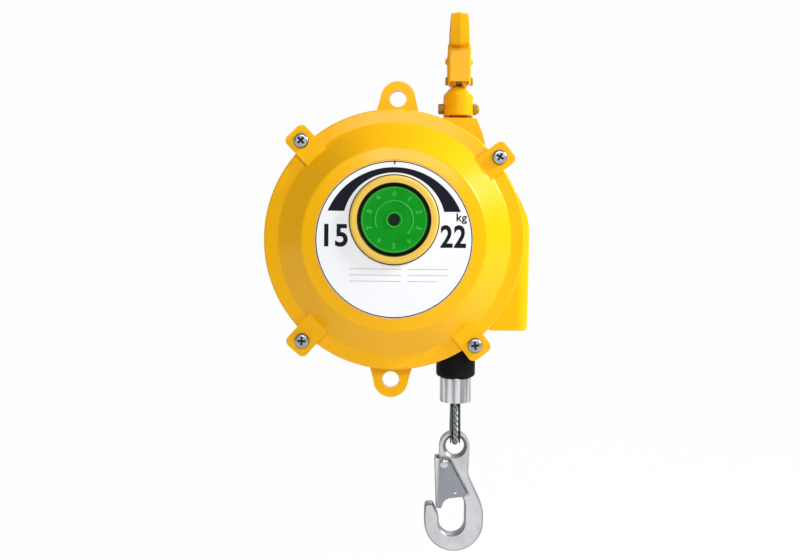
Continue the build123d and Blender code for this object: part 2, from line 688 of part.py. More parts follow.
# ------------------------------------------------------------------ rope and its end
def rope_lead():
    """The last part turn in the first groove, and the fall from the drum to the guide."""
    centre = Vector(-DRUM_REST_R, 0, -AXIS_DROP)
    end_z = OUTLET_Z + 13.5
    start = centre + Vector(-DRUM_REST_R, 0, 0)
    top = centre + Vector(0, 0, DRUM_REST_R)
    wrap = ThreePointArc(start, top, centre + Vector(DRUM_REST_R, 0, 0))
    fall = Line(centre + Vector(DRUM_REST_R, 0, 0), (0, 0, end_z))
    path = wrap + fall
    section = Plane(origin=start, z_dir=(0, 0, 1)) * Circle(ROPE_R)
    return sweep(section, path=path)


def rope_run():
    """The visible stretch of rope, which grows as the load is pulled down."""
    return rod(ROPE_R, BUFFER_BOTTOM + 6, OUTLET_Z + 13.5)


def rubber_buffer():
    top = OUTLET_Z - SLIP
    return turned((ROPE_R + 0.4, BUFFER_BOTTOM), (BUFFER_R, BUFFER_BOTTOM, 3), (BUFFER_R, top, 2),
                  (ROPE_R + 0.4, top))


def rope_ferrule():
    top = BUFFER_BOTTOM
    body = turned((0, FERRULE_BOTTOM), (FERRULE_R, FERRULE_BOTTOM, 1), (FERRULE_R, top, 1), (0, top))
    return body


def loop_outline(offset):
    """Teardrop round the thimble's saddle, grown by an offset, in the plane of the loop (y, z)."""
    low_r = THIMBLE_R + offset
    top_r = 0.3 + offset
    centre = LOOP_SEAT + THIMBLE_R
    apex = FERRULE_BOTTOM + 1.5
    rise = apex - centre
    lean = math.asin((low_r - top_r) / rise)
    side = (math.cos(lean), math.sin(lean))
    return low_r, top_r, centre, apex, side


def loop_face(offset):
    low_r, top_r, centre, apex, side = loop_outline(offset)
    low = (low_r * side[0], centre + low_r * side[1])
    high = (top_r * side[0], apex + top_r * side[1])
    arc = ThreePointArc(low, (0, centre - low_r), (-low[0], low[1]))
    return make_face([arc, Line((-low[0], low[1]), (-high[0], high[1])),
                      Line((-high[0], high[1]), high), Line(high, low)])


LOOP_PLANE = Plane(origin=(0, 0, 0), x_dir=(0, 1, 0), z_dir=(1, 0, 0))


def band(inner, outer, half_width):
    """Strip that follows the loop between two offsets."""
    ring = loop_face(outer) - loop_face(inner)
    return LOOP_PLANE * Pos(0, 0, -half_width) * extrude(ring, 2 * half_width)


def below_ferrule(shape, gap=0.0):
    cut = Pos(0, 0, FERRULE_BOTTOM - gap + 25) * Box(60, 60, 50)
    return shape - cut


def rope_loop():
    offset = THIMBLE_T + ROPE_R
    low_r, top_r, centre, apex, side = loop_outline(offset)
    low = (low_r * side[0], centre + low_r * side[1])
    high = (top_r * side[0], apex + top_r * side[1])
    path = (LOOP_PLANE * Line(high, low)
            + LOOP_PLANE * ThreePointArc(low, (0, centre - low_r), (-low[0], low[1]))
            + LOOP_PLANE * Line((-low[0], low[1]), (-high[0], high[1])))
    section = Plane(origin=path @ 0, z_dir=path % 0) * Circle(ROPE_R)
    return below_ferrule(sweep(section, path=path))


def thimble():
    half = ROPE_R + 0.1 + THIMBLE_T * 2
    saddle = band(0, THIMBLE_T, half)
    lip_outer = THIMBLE_T + 2 * ROPE_R * 0.72
    lips = band(0, lip_outer, half) - band(0, lip_outer + 1, half - THIMBLE_T * 1.0)
    return below_ferrule(saddle + lips, 0.4)


# ------------------------------------------------------------------ hooks and latches
HOOK_PLANE = Plane(origin=(0, 0, HOOK_EYE_Z), x_dir=(1, 0, 0), z_dir=(0, -1, 0))
# the upper hook stands upside down, with its tip towards the front and its crown at the origin
BOWL_V = -63.9
BOWL_R = 10.95
UPPER_Z = (BOWL_V - BOWL_R) * UPPER_HOOK_SCALE
UPPER_PLANE = Plane(origin=(0, 1.0, UPPER_Z), x_dir=(0, 1, 0), z_dir=(-1, 0, 0))
PIVOT = (-9.2, -14.1)
LANYARD_PLACE = (0.5, -38.8)
GRIP_PLACE = (-6.0, -28.2)
WEB_U = -17.25


def hook_face(head):
    """Outline of a hook, u to the right and v up from the eye; head lists the corners above the neck."""
    bowl_u = -2.3
    back_u, back_r = -0.55, 24.9
    return outline(
        *head,
        (-13.2, -20.0, 6),
        (bowl_u + BOWL_R, -45.0, 16),
        (bowl_u + BOWL_R, BOWL_V - BOWL_R, BOWL_R),
        (bowl_u - BOWL_R, BOWL_V - BOWL_R, BOWL_R),
        (bowl_u - BOWL_R, -59.0, 8),
        (-18.2, -48.4, 2.8),
        (-25.0, -48.8, 3.2),
        (back_u - back_r, -55.5, 20),
        (back_u - back_r, -88.4, back_r),
        (back_u + back_r, -88.4, back_r),
        (back_u + back_r, -52.0, 30),
        (11.3, -24.0, 14),
    )


def spring_pocket(width):
    """Slot in the neck for the latch spring, open towards the latch, in which its leg can swing."""
    slot = Circle(4.4) + Pos(-4.5, -4.2) * Rectangle(15, 17.2)
    return slab(slot, -width / 2, width / 2)


def lower_hook():
    body = slab(hook_face([(12.9, 12.2, 12.4), (-13.2, 12.2, 12.9)]), -HOOK_T / 2, HOOK_T / 2)
    body = chamfer(body.edges().filter_by(Plane.XY), 1.2)
    half = HOOK_T / 2
    flat = HOOK_EYE_T / 2
    cheek = turned((0, flat), (15, flat, 8), (27, half + 1), (0, half + 1))
    body -= Pos(0, -1, 0) * cheek
    body -= Pos(0, -1, 0) * Rot(180, 0, 0) * cheek
    mouth_r = HOOK_EYE_R + 2.4
    body -= turned((0, -half), (mouth_r, -half), (mouth_r, -flat), (HOOK_EYE_R, -flat + 2.4, 1.6),
                   (HOOK_EYE_R, flat - 2.4, 1.6), (mouth_r, flat), (mouth_r, half), (0, half))
    body -= Pos(PIVOT[0], PIVOT[1], 0) * (rod(RIVET_R, -20, 20) + spring_pocket(5))
    return HOOK_PLANE * body


def upper_hook():
    """The same forging a size smaller, with a swivel stem in place of the eye."""
    head = [(11.3, -14.5, 4), (7.5, -9.0), (-7.5, -9.0), (-13.2, -11.5, 3)]
    face = scale(hook_face(head), UPPER_HOOK_SCALE)
    body = extrude(face, UPPER_HOOK_T / 2, taper=FORGING_DRAFT)
    body += mirror(body, about=Plane.XY)
    pivot = Pos(PIVOT[0] * UPPER_HOOK_SCALE, PIVOT[1] * UPPER_HOOK_SCALE, 0)
    body -= pivot * (rod(RIVET_R, -20, 20) + spring_pocket(5))
    half, crown = UPPER_HOOK_T / 2, CROWN_T / 2
    flanks = make_face(Polyline((-half, -90), (half, -90), (half, -16), (crown, 12), (-crown, 12),
                                (-half, -16), close=True))
    placed = (UPPER_PLANE * body) & (Plane.XZ * Pos(0, 0, -60) * extrude(flanks, 120))
    shank = rod(SHANK_R, BLOCK_TOP + 0.3, UPPER_Z + 7)
    stem = rod(STEM_R, BLOCK_BOTTOM + 13, BLOCK_TOP + 1)
    return placed + shank + stem


def latch_shape(gap_width, sheet):
    """Folded latch: a web across the throat and two cheeks that straddle the hook."""
    half = gap_width / 2 + sheet
    bend = sheet + 1.0
    section = outline((0, -half, bend), (34, -half), (34, half), (0, half, bend))
    gap = gap_width / 2
    section -= outline((sheet, -gap, 1), (35, -gap), (35, gap), (sheet, gap, 1))
    channel = Pos(WEB_U, -9.0, 0) * Rot(0, 0, 2.2) * Rot(-90, 0, 0) * slab(section, -46, 3)
    face = outline((-19, -9.8, 3.5), (-19, -51.3), (-11.4, -51.6), (-8.6, -43.6, 8), (11.2, -41.2, 2.2),
                   (-6.2, -9.7, 4.2))
    body = channel & slab(face, -half - 1, half + 1)
    mouth = outline((-30, -13.0), (-14.0, -13.0, 1), (-14.0, 0), (-30, 0))
    return body - slab(mouth, 0.6 - gap_width / 2, gap_width / 2 - 0.6)


def latch(width, size):
    """A latch fitted to a hook of the given thickness; size scales its outline."""
    gap = width + 2 * LATCH_SLIP
    body = scale(latch_shape(gap / size, LATCH_SHEET / size), size)
    return body - Pos(PIVOT[0] * size, PIVOT[1] * size, 0) * rod(RIVET_R + RUN_FIT, -30, 30)


def lower_latch():
    hole = Pos(*LANYARD_PLACE, 0) * rod(LANYARD_R, -HOOK_T, HOOK_T)
    return HOOK_PLANE * (latch(HOOK_T, 1.0) - hole)


def upper_latch():
    """The larger sheet latch, with a pressed finger boss on each cheek."""
    body = latch(UPPER_HOOK_T, UPPER_HOOK_SCALE)
    face = UPPER_HOOK_T / 2 + LATCH_SLIP + LATCH_SHEET
    boss = turned((0, -0.5), (GRIP_R, -0.5), (GRIP_R - 1.5, GRIP_H, 1), (0, GRIP_H))
    for side in (1, -1):
        turn = Rot(0, 90 - 90 * side, 0)
        body += Pos(GRIP_PLACE[0], GRIP_PLACE[1], side * face) * turn * boss
    return UPPER_PLANE * body


def latch_rivet(plane, width, size):
    reach = width / 2 + LATCH_SLIP + LATCH_SHEET + 0.15
    pin = rod(RIVET_R - 0.02, -reach, reach)
    head = turned((0, 0), (3.6, 0), (3.6, 1.7, 1.2), (0, 1.7))
    body = pin + Pos(0, 0, reach) * head + Pos(0, 0, -reach) * Rot(180, 0, 0) * head
    return plane * Pos(PIVOT[0] * size, PIVOT[1] * size, 0) * body


def latch_spring(plane, size):
    """Three-turn torsion spring round the rivet, with a leg along the web."""
    wire = 0.5
    step = 2 * wire + RUN_FIT
    coil_r = RIVET_R + 0.35 + wire
    section = Plane.XZ * Pos(coil_r, 0) * RegularPolygon(wire, 8)
    coil = revolve(section, axis=Axis.Z)
    reach = 14 * size
    room = (PIVOT[0] - WEB_U) * size - LATCH_SHEET - coil_r - wire - 0.7
    lean = math.degrees(math.asin(room / reach))
    leg = Pos(-coil_r, 0, -1.5 * step) * Rot(0, 0, -lean) * Rot(90, 0, 0) * rod(wire, 0, reach)
    place = plane * Pos(PIVOT[0] * size, PIVOT[1] * size, 0)
    return [place * leg] + [place * Pos(0, 0, (i - 0.5) * step) * coil for i in range(3)]


# ------------------------------------------------------------------ hanger
def swivel_block():
    """Domed block that turns on the hook's stem and takes the hanger pin."""
    body = turned((0, BLOCK_BOTTOM), (BLOCK_R, BLOCK_BOTTOM, 0.8), (BLOCK_R, BLOCK_TOP - BLOCK_SHOULDER, 3),
                  (SHANK_R + 1.2, BLOCK_TOP, 1.5), (0, BLOCK_TOP))
    body -= rod(STEM_R + RUN_FIT, BLOCK_TOP - 10, BLOCK_TOP + 1)
    cavity_top = BLOCK_BOTTOM + 18
    cavity = Box(TONGUE_W + 2, 19.2, cavity_top - BLOCK_BOTTOM + 1)
    body -= Pos(0, 0, (BLOCK_BOTTOM - 1 + cavity_top) / 2) * cavity
    body -= Pos(0, 0, PIN_Z) * Rot(0, 90, 0) * rod(PIN_R, -30, 30)
    return body


def hook_washer():
    top = BLOCK_BOTTOM + 18
    return tube(6.6, STEM_R + 0.02, top - 1.2, top - 0.05)


def hook_nut():
    """Round nut on the stem, under its thrust washer."""
    top = BLOCK_BOTTOM + 18 - 1.25
    nut = tube(6.6, STEM_R, top - 4.2, top)
    for i in range(4):
        nut -= Rot(0, 0, 90 * i + 45) * Pos(6.6, 0, top - 4.2) * Box(3, 1.8, 2.4)
    return nut


def hanger_pin():
    head = turned((0, 0), (PIN_HEAD_R, 0), (PIN_HEAD_R, PIN_HEAD_T, 1), (0, PIN_HEAD_T))
    body = rod(PIN_R - 0.01, -BLOCK_R, BLOCK_R + 4) + Pos(0, 0, -BLOCK_R - 0.05) * Rot(180, 0, 0) * head
    return Pos(0, 0, PIN_Z) * Rot(0, 90, 0) * body


def hanger_pin_nut():
    body = slab(RegularPolygon(PIN_HEAD_R + 0.4, 6), BLOCK_R + 0.05, BLOCK_R + 2.4)
    body += turned((0, BLOCK_R + 2.4), (PIN_HEAD_R - 0.3, BLOCK_R + 2.4),
                   (PIN_HEAD_R - 0.3, BLOCK_R + PIN_HEAD_T + 0.8, 2.6),
                   (0, BLOCK_R + PIN_HEAD_T + 0.8))
    body -= rod(PIN_R, BLOCK_R - 1, BLOCK_R + 4.05)
    return Pos(0, 0, PIN_Z) * Rot(0, 90, 0) * body


# ------------------------------------------------------------------ build
STACKED = {
    "front_cover": front_cover,
    "cover_screws": cover_screws,
    "name_plate": name_plate,
    "tension_dial": tension_dial,
    "dial_screw": dial_screw,
    "dial_pinion": dial_pinion,
    "spring_case": spring_case,
    "spring_case_lid": spring_case_lid,
    "case_lid_screws": case_lid_screws,
    "case_bush": case_bush,
    "worm_wheel": worm_wheel,
    "mainspring": mainspring,
    "worm": worm,
    "worm_upper_bush": worm_upper_bush,
    "worm_retainer": worm_retainer,
    "drum": drum,
    "rope_on_drum": rope_on_drum,
    "drum_shaft": drum_shaft,
    "spring_arbor": spring_arbor,
    "shaft_circlip": shaft_circlip,
    "front_bearing": lambda: bearing(FRONT_BEARING, FLOOR_BACK),
    "rear_bearing": lambda: bearing(REAR_BEARING, REAR_SHOULDER),
    "rear_bearing_cap": rear_bearing_cap,
    "cap_screws": cap_screws,
    "housing": housing,
}
UPPER = UPPER_HOOK_SCALE
HUNG = {
    "cable_guide": cable_guide,
    "rope_lead": rope_lead,
    "rope_run": rope_run,
    "rubber_buffer": rubber_buffer,
    "rope_ferrule": rope_ferrule,
    "rope_loop": rope_loop,
    "thimble": thimble,
    "lower_hook": lower_hook,
    "lower_latch": lower_latch,
    "lower_latch_rivet": lambda: latch_rivet(HOOK_PLANE, HOOK_T, 1.0),
    "lower_latch_spring": lambda: latch_spring(HOOK_PLANE, 1.0),
    "upper_hook": upper_hook,
    "upper_latch": upper_latch,
    "upper_latch_rivet": lambda: latch_rivet(UPPER_PLANE, UPPER_HOOK_T, UPPER),
    "upper_latch_spring": lambda: latch_spring(UPPER_PLANE, UPPER),
    "swivel_block": swivel_block,
    "hook_washer": hook_washer,
    "hook_nut": hook_nut,
    "hanger_pin": hanger_pin,
    "hanger_pin_nut": hanger_pin_nut,
}


def write(name, made, place):
    solids = made if isinstance(made, list) else [made]
    shapes = [place * solid for solid in solids]
    shape = shapes[0] if len(shapes) == 1 else Compound(children=shapes)
    export_step(shape, f"parts/{name}.step")
    print(name, "written")


os.makedirs("parts", exist_ok=True)
for name, make in STACKED.items():
    write(name, make(), STACK)
for name, make in HUNG.items():
    write(name, make(), Location())
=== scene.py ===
"""Looks of a spring tool balancer: paint, print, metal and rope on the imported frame, in metres."""

import logging
import math
from dataclasses import dataclass, field
from enum import Enum
from typing import Any, Callable, Iterable, Sequence

import bmesh
import bpy
from mathutils import Matrix, Vector


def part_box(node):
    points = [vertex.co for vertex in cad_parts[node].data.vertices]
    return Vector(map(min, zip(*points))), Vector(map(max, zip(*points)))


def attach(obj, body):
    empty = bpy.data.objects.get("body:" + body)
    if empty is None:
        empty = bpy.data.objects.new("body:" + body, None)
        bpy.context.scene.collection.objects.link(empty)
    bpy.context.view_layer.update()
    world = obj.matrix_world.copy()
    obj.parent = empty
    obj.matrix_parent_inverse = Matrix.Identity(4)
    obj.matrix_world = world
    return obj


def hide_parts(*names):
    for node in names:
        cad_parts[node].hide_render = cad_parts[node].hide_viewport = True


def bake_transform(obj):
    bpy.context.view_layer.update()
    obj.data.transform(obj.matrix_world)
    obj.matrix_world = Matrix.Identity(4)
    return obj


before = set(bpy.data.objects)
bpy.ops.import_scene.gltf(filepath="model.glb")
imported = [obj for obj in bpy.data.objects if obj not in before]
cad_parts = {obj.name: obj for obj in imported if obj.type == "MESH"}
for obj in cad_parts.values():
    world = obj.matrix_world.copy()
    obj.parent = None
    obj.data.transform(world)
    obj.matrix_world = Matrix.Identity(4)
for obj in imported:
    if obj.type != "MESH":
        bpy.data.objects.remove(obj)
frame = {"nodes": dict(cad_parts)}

log = logging.getLogger("balancer")

Colour = tuple[float, float, float]
Point = tuple[float, float, float]

MM = 0.001
DRUM_AXIS: Point = (-53.0 * MM, 0.0, -182.6 * MM)
DIAL_AXIS: Point = (-53.0 * MM, 0.0, -167.1 * MM)
ROPE_R = 2.38 * MM
QUARTER = math.radians(90)


class Strand(Enum):
    """How a rope's outer strands lie."""

    RIGHT = 1
    LEFT = -1


# ---------------------------------------------------------------- shader maths
class Number:
    """One number that varies over a surface, with plain arithmetic."""

    def __init__(self, graph: "Graph", socket: bpy.types.NodeSocket) -> None:
        """Wraps a socket.

        Args:
            graph: the material's node graph.
            socket: the output that gives the number.
        """
        self.graph = graph
        self.socket = socket

    def _math(self, operation: str, *values: Any) -> "Number":
        """Adds one Math node.

        Args:
            operation: the node's operation.
            values: its inputs, in order.

        Returns:
            The node's result.
        """
        made = self.graph.node("ShaderNodeMath", {"operation": operation}, dict(enumerate(values)))
        return Number(self.graph, made.outputs[0])

    def __add__(self, other: Any) -> "Number":
        """Sum."""
        return self._math("ADD", self, other)

    __radd__ = __add__

    def __mul__(self, other: Any) -> "Number":
        """Product."""
        return self._math("MULTIPLY", self, other)

    __rmul__ = __mul__

    def __sub__(self, other: Any) -> "Number":
        """Difference."""
        return self._math("SUBTRACT", self, other)

    def __rsub__(self, other: Any) -> "Number":
        """Reflected difference."""
        return self._math("SUBTRACT", other, self)

    def __truediv__(self, other: Any) -> "Number":
        """Quotient."""
        return self._math("DIVIDE", self, other)

    def __pow__(self, other: Any) -> "Number":
        """Power."""
        return self._math("POWER", self, other)

    def __abs__(self) -> "Number":
        """Size without sign."""
        return self._math("ABSOLUTE", self)

    def sin(self) -> "Number":
        """Sine of an angle in radians."""
        return self._math("SINE", self)

    def most(self, other: Any) -> "Number":
        """The larger of two."""
        return self._math("MAXIMUM", self, other)

    def step(self, low: float, high: float) -> "Number":
        """Rises smoothly from 0 at low to 1 at high.

        Args:
            low: where it starts.
            high: where it ends, which may be less than low.

        Returns:
            A number from 0 to 1.
        """
        made = self.graph.node(
            "ShaderNodeMapRange",
            {"interpolation_type": "SMOOTHSTEP", "clamp": True},
            {"Value": self, "From Min": low, "From Max": high, "To Min": 0.0, "To Max": 1.0},
        )
        return Number(self.graph, made.outputs["Result"])


class Graph:
    """A material's node tree, filled through one method."""

    def __init__(self, name: str) -> None:
        """Makes an empty material.

        Args:
            name: the finish's name.
        """
        self.material = bpy.data.materials.new(name)
        self.material.use_nodes = True
        self.tree = self.material.node_tree
        self.tree.nodes.clear()
        self._place: list[Number] | None = None

    def node(self, kind: str, settings: dict[str, Any] | None = None,
             sockets: dict[Any, Any] | None = None) -> bpy.types.Node:
        """Adds a node.

        Args:
            kind: the node's type.
            settings: its properties, set before its sockets; "stops" fills a colour ramp.
            sockets: values or links by socket name or number.

        Returns:
            The node.
        """
        made = self.tree.nodes.new(kind)
        for key, value in (settings or {}).items():
            if key == "stops":
                ramp = made.color_ramp
                while len(ramp.elements) < len(value):
                    ramp.elements.new(0.5)
                for element, (position, colour) in zip(ramp.elements, value):
                    element.position = position
                    element.color = (*colour, 1.0)
            else:
                setattr(made, key, value)
        for key, value in (sockets or {}).items():
            into = made.inputs[key]
            if isinstance(value, Number):
                self.tree.links.new(value.socket, into)
            elif isinstance(value, bpy.types.NodeSocket):
                self.tree.links.new(value, into)
            elif isinstance(value, tuple) and into.type == "RGBA" and len(value) == 3:
                into.default_value = (*value, 1.0)
            else:
                into.default_value = value
        return made

    def place(self) -> list[Number]:
        """Object coordinates.

        Returns:
            X, Y and Z in metres.
        """
        if self._place is None:
            where = self.node("ShaderNodeTexCoord")
            split = self.node("ShaderNodeSeparateXYZ", None, {"Vector": where.outputs["Object"]})
            self._place = [Number(self, split.outputs[i]) for i in range(3)]
        return self._place

    def flank(self, axis: int, flat: float = 0.97, steep: float = 0.6) -> Number:
        """Where a surface turns away from one of the object's axes.

        Args:
            axis: 0, 1 or 2 for X, Y or Z.
            flat: cosine at which it still counts as facing the axis.
            steep: cosine at which it fully counts as a flank.

        Returns:
            0 on faces square to the axis, 1 on flanks.
        """
        where = self.node("ShaderNodeTexCoord")
        split = self.node("ShaderNodeSeparateXYZ", None, {"Vector": where.outputs["Normal"]})
        return abs(Number(self, split.outputs[axis])).step(flat, steep)

    def noise(self, scale: float, detail: float = 3.0, stretch: Point = (1.0, 1.0, 1.0)) -> Number:
        """Cloudy noise on Object coordinates.

        Args:
            scale: features per metre.
            detail: how fine it breaks up.
            stretch: scale along each axis.

        Returns:
            A number about 0.5.
        """
        where = self.node("ShaderNodeTexCoord")
        turned = self.node("ShaderNodeMapping", None, {"Vector": where.outputs["Object"], "Scale": stretch})
        made = self.node("ShaderNodeTexNoise", None,
                         {"Vector": turned.outputs["Vector"], "Scale": scale, "Detail": detail})
        return Number(self, made.outputs["Fac"])

    def mix(self, share: Any, first: Any, second: Any) -> bpy.types.NodeSocket:
        """Blends two colours.

        Args:
            share: 0 for the first, 1 for the second.
            first: a colour or a link.
            second: a colour or a link.

        Returns:
            The blended colour.
        """
        made = self.node("ShaderNodeMix", {"data_type": "RGBA"}, {0: share, 6: first, 7: second})
        return made.outputs[2]

    def bump(self, height: Number, distance: float, strength: float = 1.0,
             under: bpy.types.NodeSocket | None = None) -> bpy.types.NodeSocket:
        """Turns a height into a normal.

        Args:
            height: the surface height, 0 to 1.
            distance: what a height of 1 stands for, in metres.
            strength: how much of it is used.
            under: a normal that this one lies on.

        Returns:
            The normal.
        """
        sockets: dict[Any, Any] = {"Height": height, "Distance": distance, "Strength": strength}
        if under is not None:
            sockets["Normal"] = under
        return self.node("ShaderNodeBump", None, sockets).outputs["Normal"]

    def finish(self, **sockets: Any) -> bpy.types.Material:
        """Ends the graph in a Principled shader.

        Args:
            sockets: its inputs, with spaces written as underscores.

        Returns:
            The material.
        """
        named = {key.replace("_", " "): value for key, value in sockets.items()}
        shader = self.node("ShaderNodeBsdfPrincipled", None, named)
        out = self.node("ShaderNodeOutputMaterial")
        self.tree.links.new(shader.outputs["BSDF"], out.inputs["Surface"])
        return self.material


# ---------------------------------------------------------------- finishes
@dataclass(frozen=True)
class Enamel:
    """Baked enamel on a casting or forging: gloss, with a slight orange peel."""

    name: str
    colour: Colour
    deep: Colour
    roughness: float = 0.27
    coat: float = 0.06
    peel: float = 0.00003
    shine: float = 0.17

    def tone(self, g: Graph, cloud: Number) -> bpy.types.NodeSocket:
        """The paint's colour, a little deeper where it is thick.

        Args:
            g: the material's graph.
            cloud: broad noise.

        Returns:
            The colour.
        """
        return g.mix((cloud - 0.35) * 0.9, self.colour, self.deep)

    def build(self) -> bpy.types.Material:
        """Makes the material."""
        g = Graph(self.name)
        cloud = g.noise(16.0, 4.0)
        fine = g.noise(420.0, 2.0)
        wave = g.noise(70.0, 2.0)
        normal = g.bump(fine * 0.4 + wave, self.peel * 4, 0.5)
        return g.finish(Base_Color=self.tone(g, cloud), Roughness=cloud * 0.12 + (self.roughness - 0.05),
                        Coat_Weight=self.coat, Coat_Roughness=0.1, Specular_IOR_Level=self.shine, Normal=normal)


@dataclass(frozen=True)
class CoverEnamel(Enamel):
    """The cover's enamel, with a painted highlight in a paler tone on the dial's rim and painted shade, near
    black, inside its well.
    """

    # The first colour is a painted highlight for the ring's face round the dial; the second is painted shade
    # inside the dial's well.
    gold: Colour = (0.86, 0.56, 0.10)
    dust: Colour = (0.014, 0.016, 0.002)
    well_r: float = 29.3
    rim_r: float = 35.0

    def tone(self, g: Graph, cloud: Number) -> bpy.types.NodeSocket:
        """The paint's colour with the painted highlight on the rim and the painted shade in the well."""
        x, _, z = g.place()
        x = (x - DIAL_AXIS[0]) * 1000.0
        z = (z - DIAL_AXIS[2]) * 1000.0
        distance = (x * x + z * z) ** 0.5
        rim = distance.step(self.rim_r + 0.2, self.rim_r - 0.2)
        # Painted highlight: the ring's face round the dial is mixed to a paler tone.
        painted_sheen = g.mix(rim * (cloud * 0.4 + 0.75), super().tone(g, cloud), self.gold)
        # Painted shade: the well inside the ring is mixed to near black.
        return g.mix(distance.step(self.well_r + 0.25, self.well_r - 0.35), painted_sheen, self.dust)


@dataclass(frozen=True)
class Plated:
    """Zinc, nickel or bare ground steel with fine marks along one axis."""

    name: str
    colour: Colour
    dark: Colour
    roughness: float = 0.3
    grain: Point = (1.0, 1.0, 1.0)
    depth: float = 0.00002

    def build(self) -> bpy.types.Material:
        """Makes the material."""
        g = Graph(self.name)
        cloud = g.noise(60.0, 5.0)
        marks = g.noise(500.0, 4.0, self.grain)
        tone = g.mix((cloud - 0.4) * 1.6 + marks * 0.3, self.colour, self.dark)
        return g.finish(Base_Color=tone, Metallic=1.0,
                        Roughness=marks * 0.2 + cloud * 0.12 + (self.roughness - 0.16),
                        Normal=g.bump(marks, self.depth, 0.6))


@dataclass(frozen=True)
class ScrewZinc(Plated):
    """Zinc-plated pan heads with painted shade, near black, inside the cross recess and under the head."""

    front: float = 0.0

    def build(self) -> bpy.types.Material:
        """Makes the material."""
        g = Graph(self.name)
        _, y, _ = g.place()
        # Painted shade: surfaces more than about a millimetre behind the heads' front, in the cross recess and
        # round the head, go near black and less metallic.
        deep = ((y - self.front) * 1000.0).step(0.9, 1.5)
        cloud = g.noise(160.0, 4.0)
        marks = g.noise(700.0, 3.0)
        tone = g.mix((cloud - 0.35) * 1.5 + marks * 0.3, self.colour, self.dark)
        return g.finish(Base_Color=g.mix(deep, tone, (0.012, 0.013, 0.018)), Metallic=1.0 - deep * 0.8,
                        Roughness=marks * 0.2 + deep * 0.3 + (self.roughness - 0.05),
                        Normal=g.bump(marks, self.depth, 0.6))


@dataclass(frozen=True)
class DrawnSleeve(Plated):
    """Pressed sleeve with long light and dark bands painted along it as reflections; the bands also give a
    faint relief.
    """

    def build(self) -> bpy.types.Material:
        """Makes the material."""
        g = Graph(self.name)
        bands = g.noise(210.0, 1.0, self.grain)
        marks = g.noise(900.0, 3.0, self.grain)
        # Painted reflection: the long bands switch the sleeve between near white and dark grey.
        tone = g.mix(bands.step(0.4, 0.62) * 0.8 + marks * 0.2, self.colour, self.dark)
        return g.finish(Base_Color=tone, Metallic=1.0, Roughness=marks * 0.16 + (self.roughness - 0.08),
                        Normal=g.bump(bands * 0.7 + marks * 0.3, self.depth, 0.6))


@dataclass(frozen=True)
class PressedLatch(Plated):
    """Pressed sheet, dull on its cheeks, with a painted highlight near white along its fold and painted shade
    near black on faces turned from the front.
    """

    # This pale colour is a painted highlight along the fold.
    bright: Colour = (0.86, 0.87, 0.9)
    fold: float = -14.6

    def build(self) -> bpy.types.Material:
        """Makes the material."""
        g = Graph(self.name)
        x, _, z = g.place()
        lean = x * 1000.0 - (z * 1000.0 + 357.2) * 0.038
        cloud = g.noise(60.0, 5.0)
        marks = g.noise(500.0, 4.0, self.grain)
        dull = g.mix((cloud - 0.35) + marks * 0.3, self.colour, self.dark)
        # Painted highlight: a band along the fold is mixed to near white and made less metallic.
        painted_sheen = lean.step(self.fold + 2.8, self.fold - 1.2)
        # Painted shade: faces turned away from the front are mixed to near black and made less metallic.
        edge = g.flank(1, 0.85, 0.3)
        tone = g.mix(edge * 0.85, g.mix(painted_sheen, dull, self.bright), (0.07, 0.07, 0.085))
        return g.finish(Base_Color=tone, Metallic=1.0 - edge * 0.5 - painted_sheen * 0.5,
                        Roughness=marks * 0.2 + cloud * 0.1 + (self.roughness - 0.14),
                        Normal=g.bump(marks, self.depth, 0.6))


@dataclass(frozen=True)
class Forging(Plated):
    """Plated forging with painted shade, near black, on its flanks and a painted shadow along the latch's
    sloping edge.
    """

    # This near-black colour is painted shadow along the latch's sloping edge and painted shade on the flanks.
    grime: Colour = (0.03, 0.032, 0.042)
    start: tuple[float, float] = (-6.2, -366.9)
    end: tuple[float, float] = (11.2, -398.4)
    spread: float = 3.5

    def build(self) -> bpy.types.Material:
        """Makes the material."""
        g = Graph(self.name)
        x, _, z = g.place()
        run = Vector(self.end) - Vector(self.start)
        along_x, along_z = run.normalized()
        x = x * 1000.0 - self.start[0]
        z = z * 1000.0 - self.start[1]
        along = x * along_x + z * along_z
        off = z * along_x - x * along_z
        # Painted shadow: a band along the latch's sloping edge.
        line = off.step(self.spread, 0.4) * off.step(-1.0, 0.2)
        line = line * along.step(-2.0, 3.0) * along.step(run.length + 1.5, run.length - 3.0)
        cloud = g.noise(60.0, 5.0)
        marks = g.noise(500.0, 4.0, self.grain)
        tone = g.mix((cloud - 0.4) * 1.6 + marks * 0.3, self.colour, self.dark)
        # Painted shade: faces turned away from the front are also darkened.
        line = line.most(g.flank(1) * (cloud * 0.5 + 0.6))
        return g.finish(Base_Color=g.mix(line * (marks * 0.4 + 0.65), tone, self.grime),
                        Metallic=1.0 - line * 0.7,
                        Roughness=marks * 0.2 + cloud * 0.12 + (self.roughness - 0.16),
                        Normal=g.bump(marks, self.depth, 0.6))


@dataclass(frozen=True)
class Cast:
    """Unpainted sand or die casting."""

    name: str
    colour: Colour
    dark: Colour
    metallic: float = 0.85
    roughness: float = 0.55

    def build(self) -> bpy.types.Material:
        """Makes the material."""
        g = Graph(self.name)
        cloud = g.noise(45.0, 5.0)
        sand = g.noise(900.0, 3.0)
        tone = g.mix(cloud * 0.8 + sand * 0.2, self.colour, self.dark)
        return g.finish(Base_Color=tone, Metallic=self.metallic,
                        Roughness=cloud * 0.25 + (self.roughness - 0.12),
                        Normal=g.bump(sand + cloud, 0.00008, 0.6))


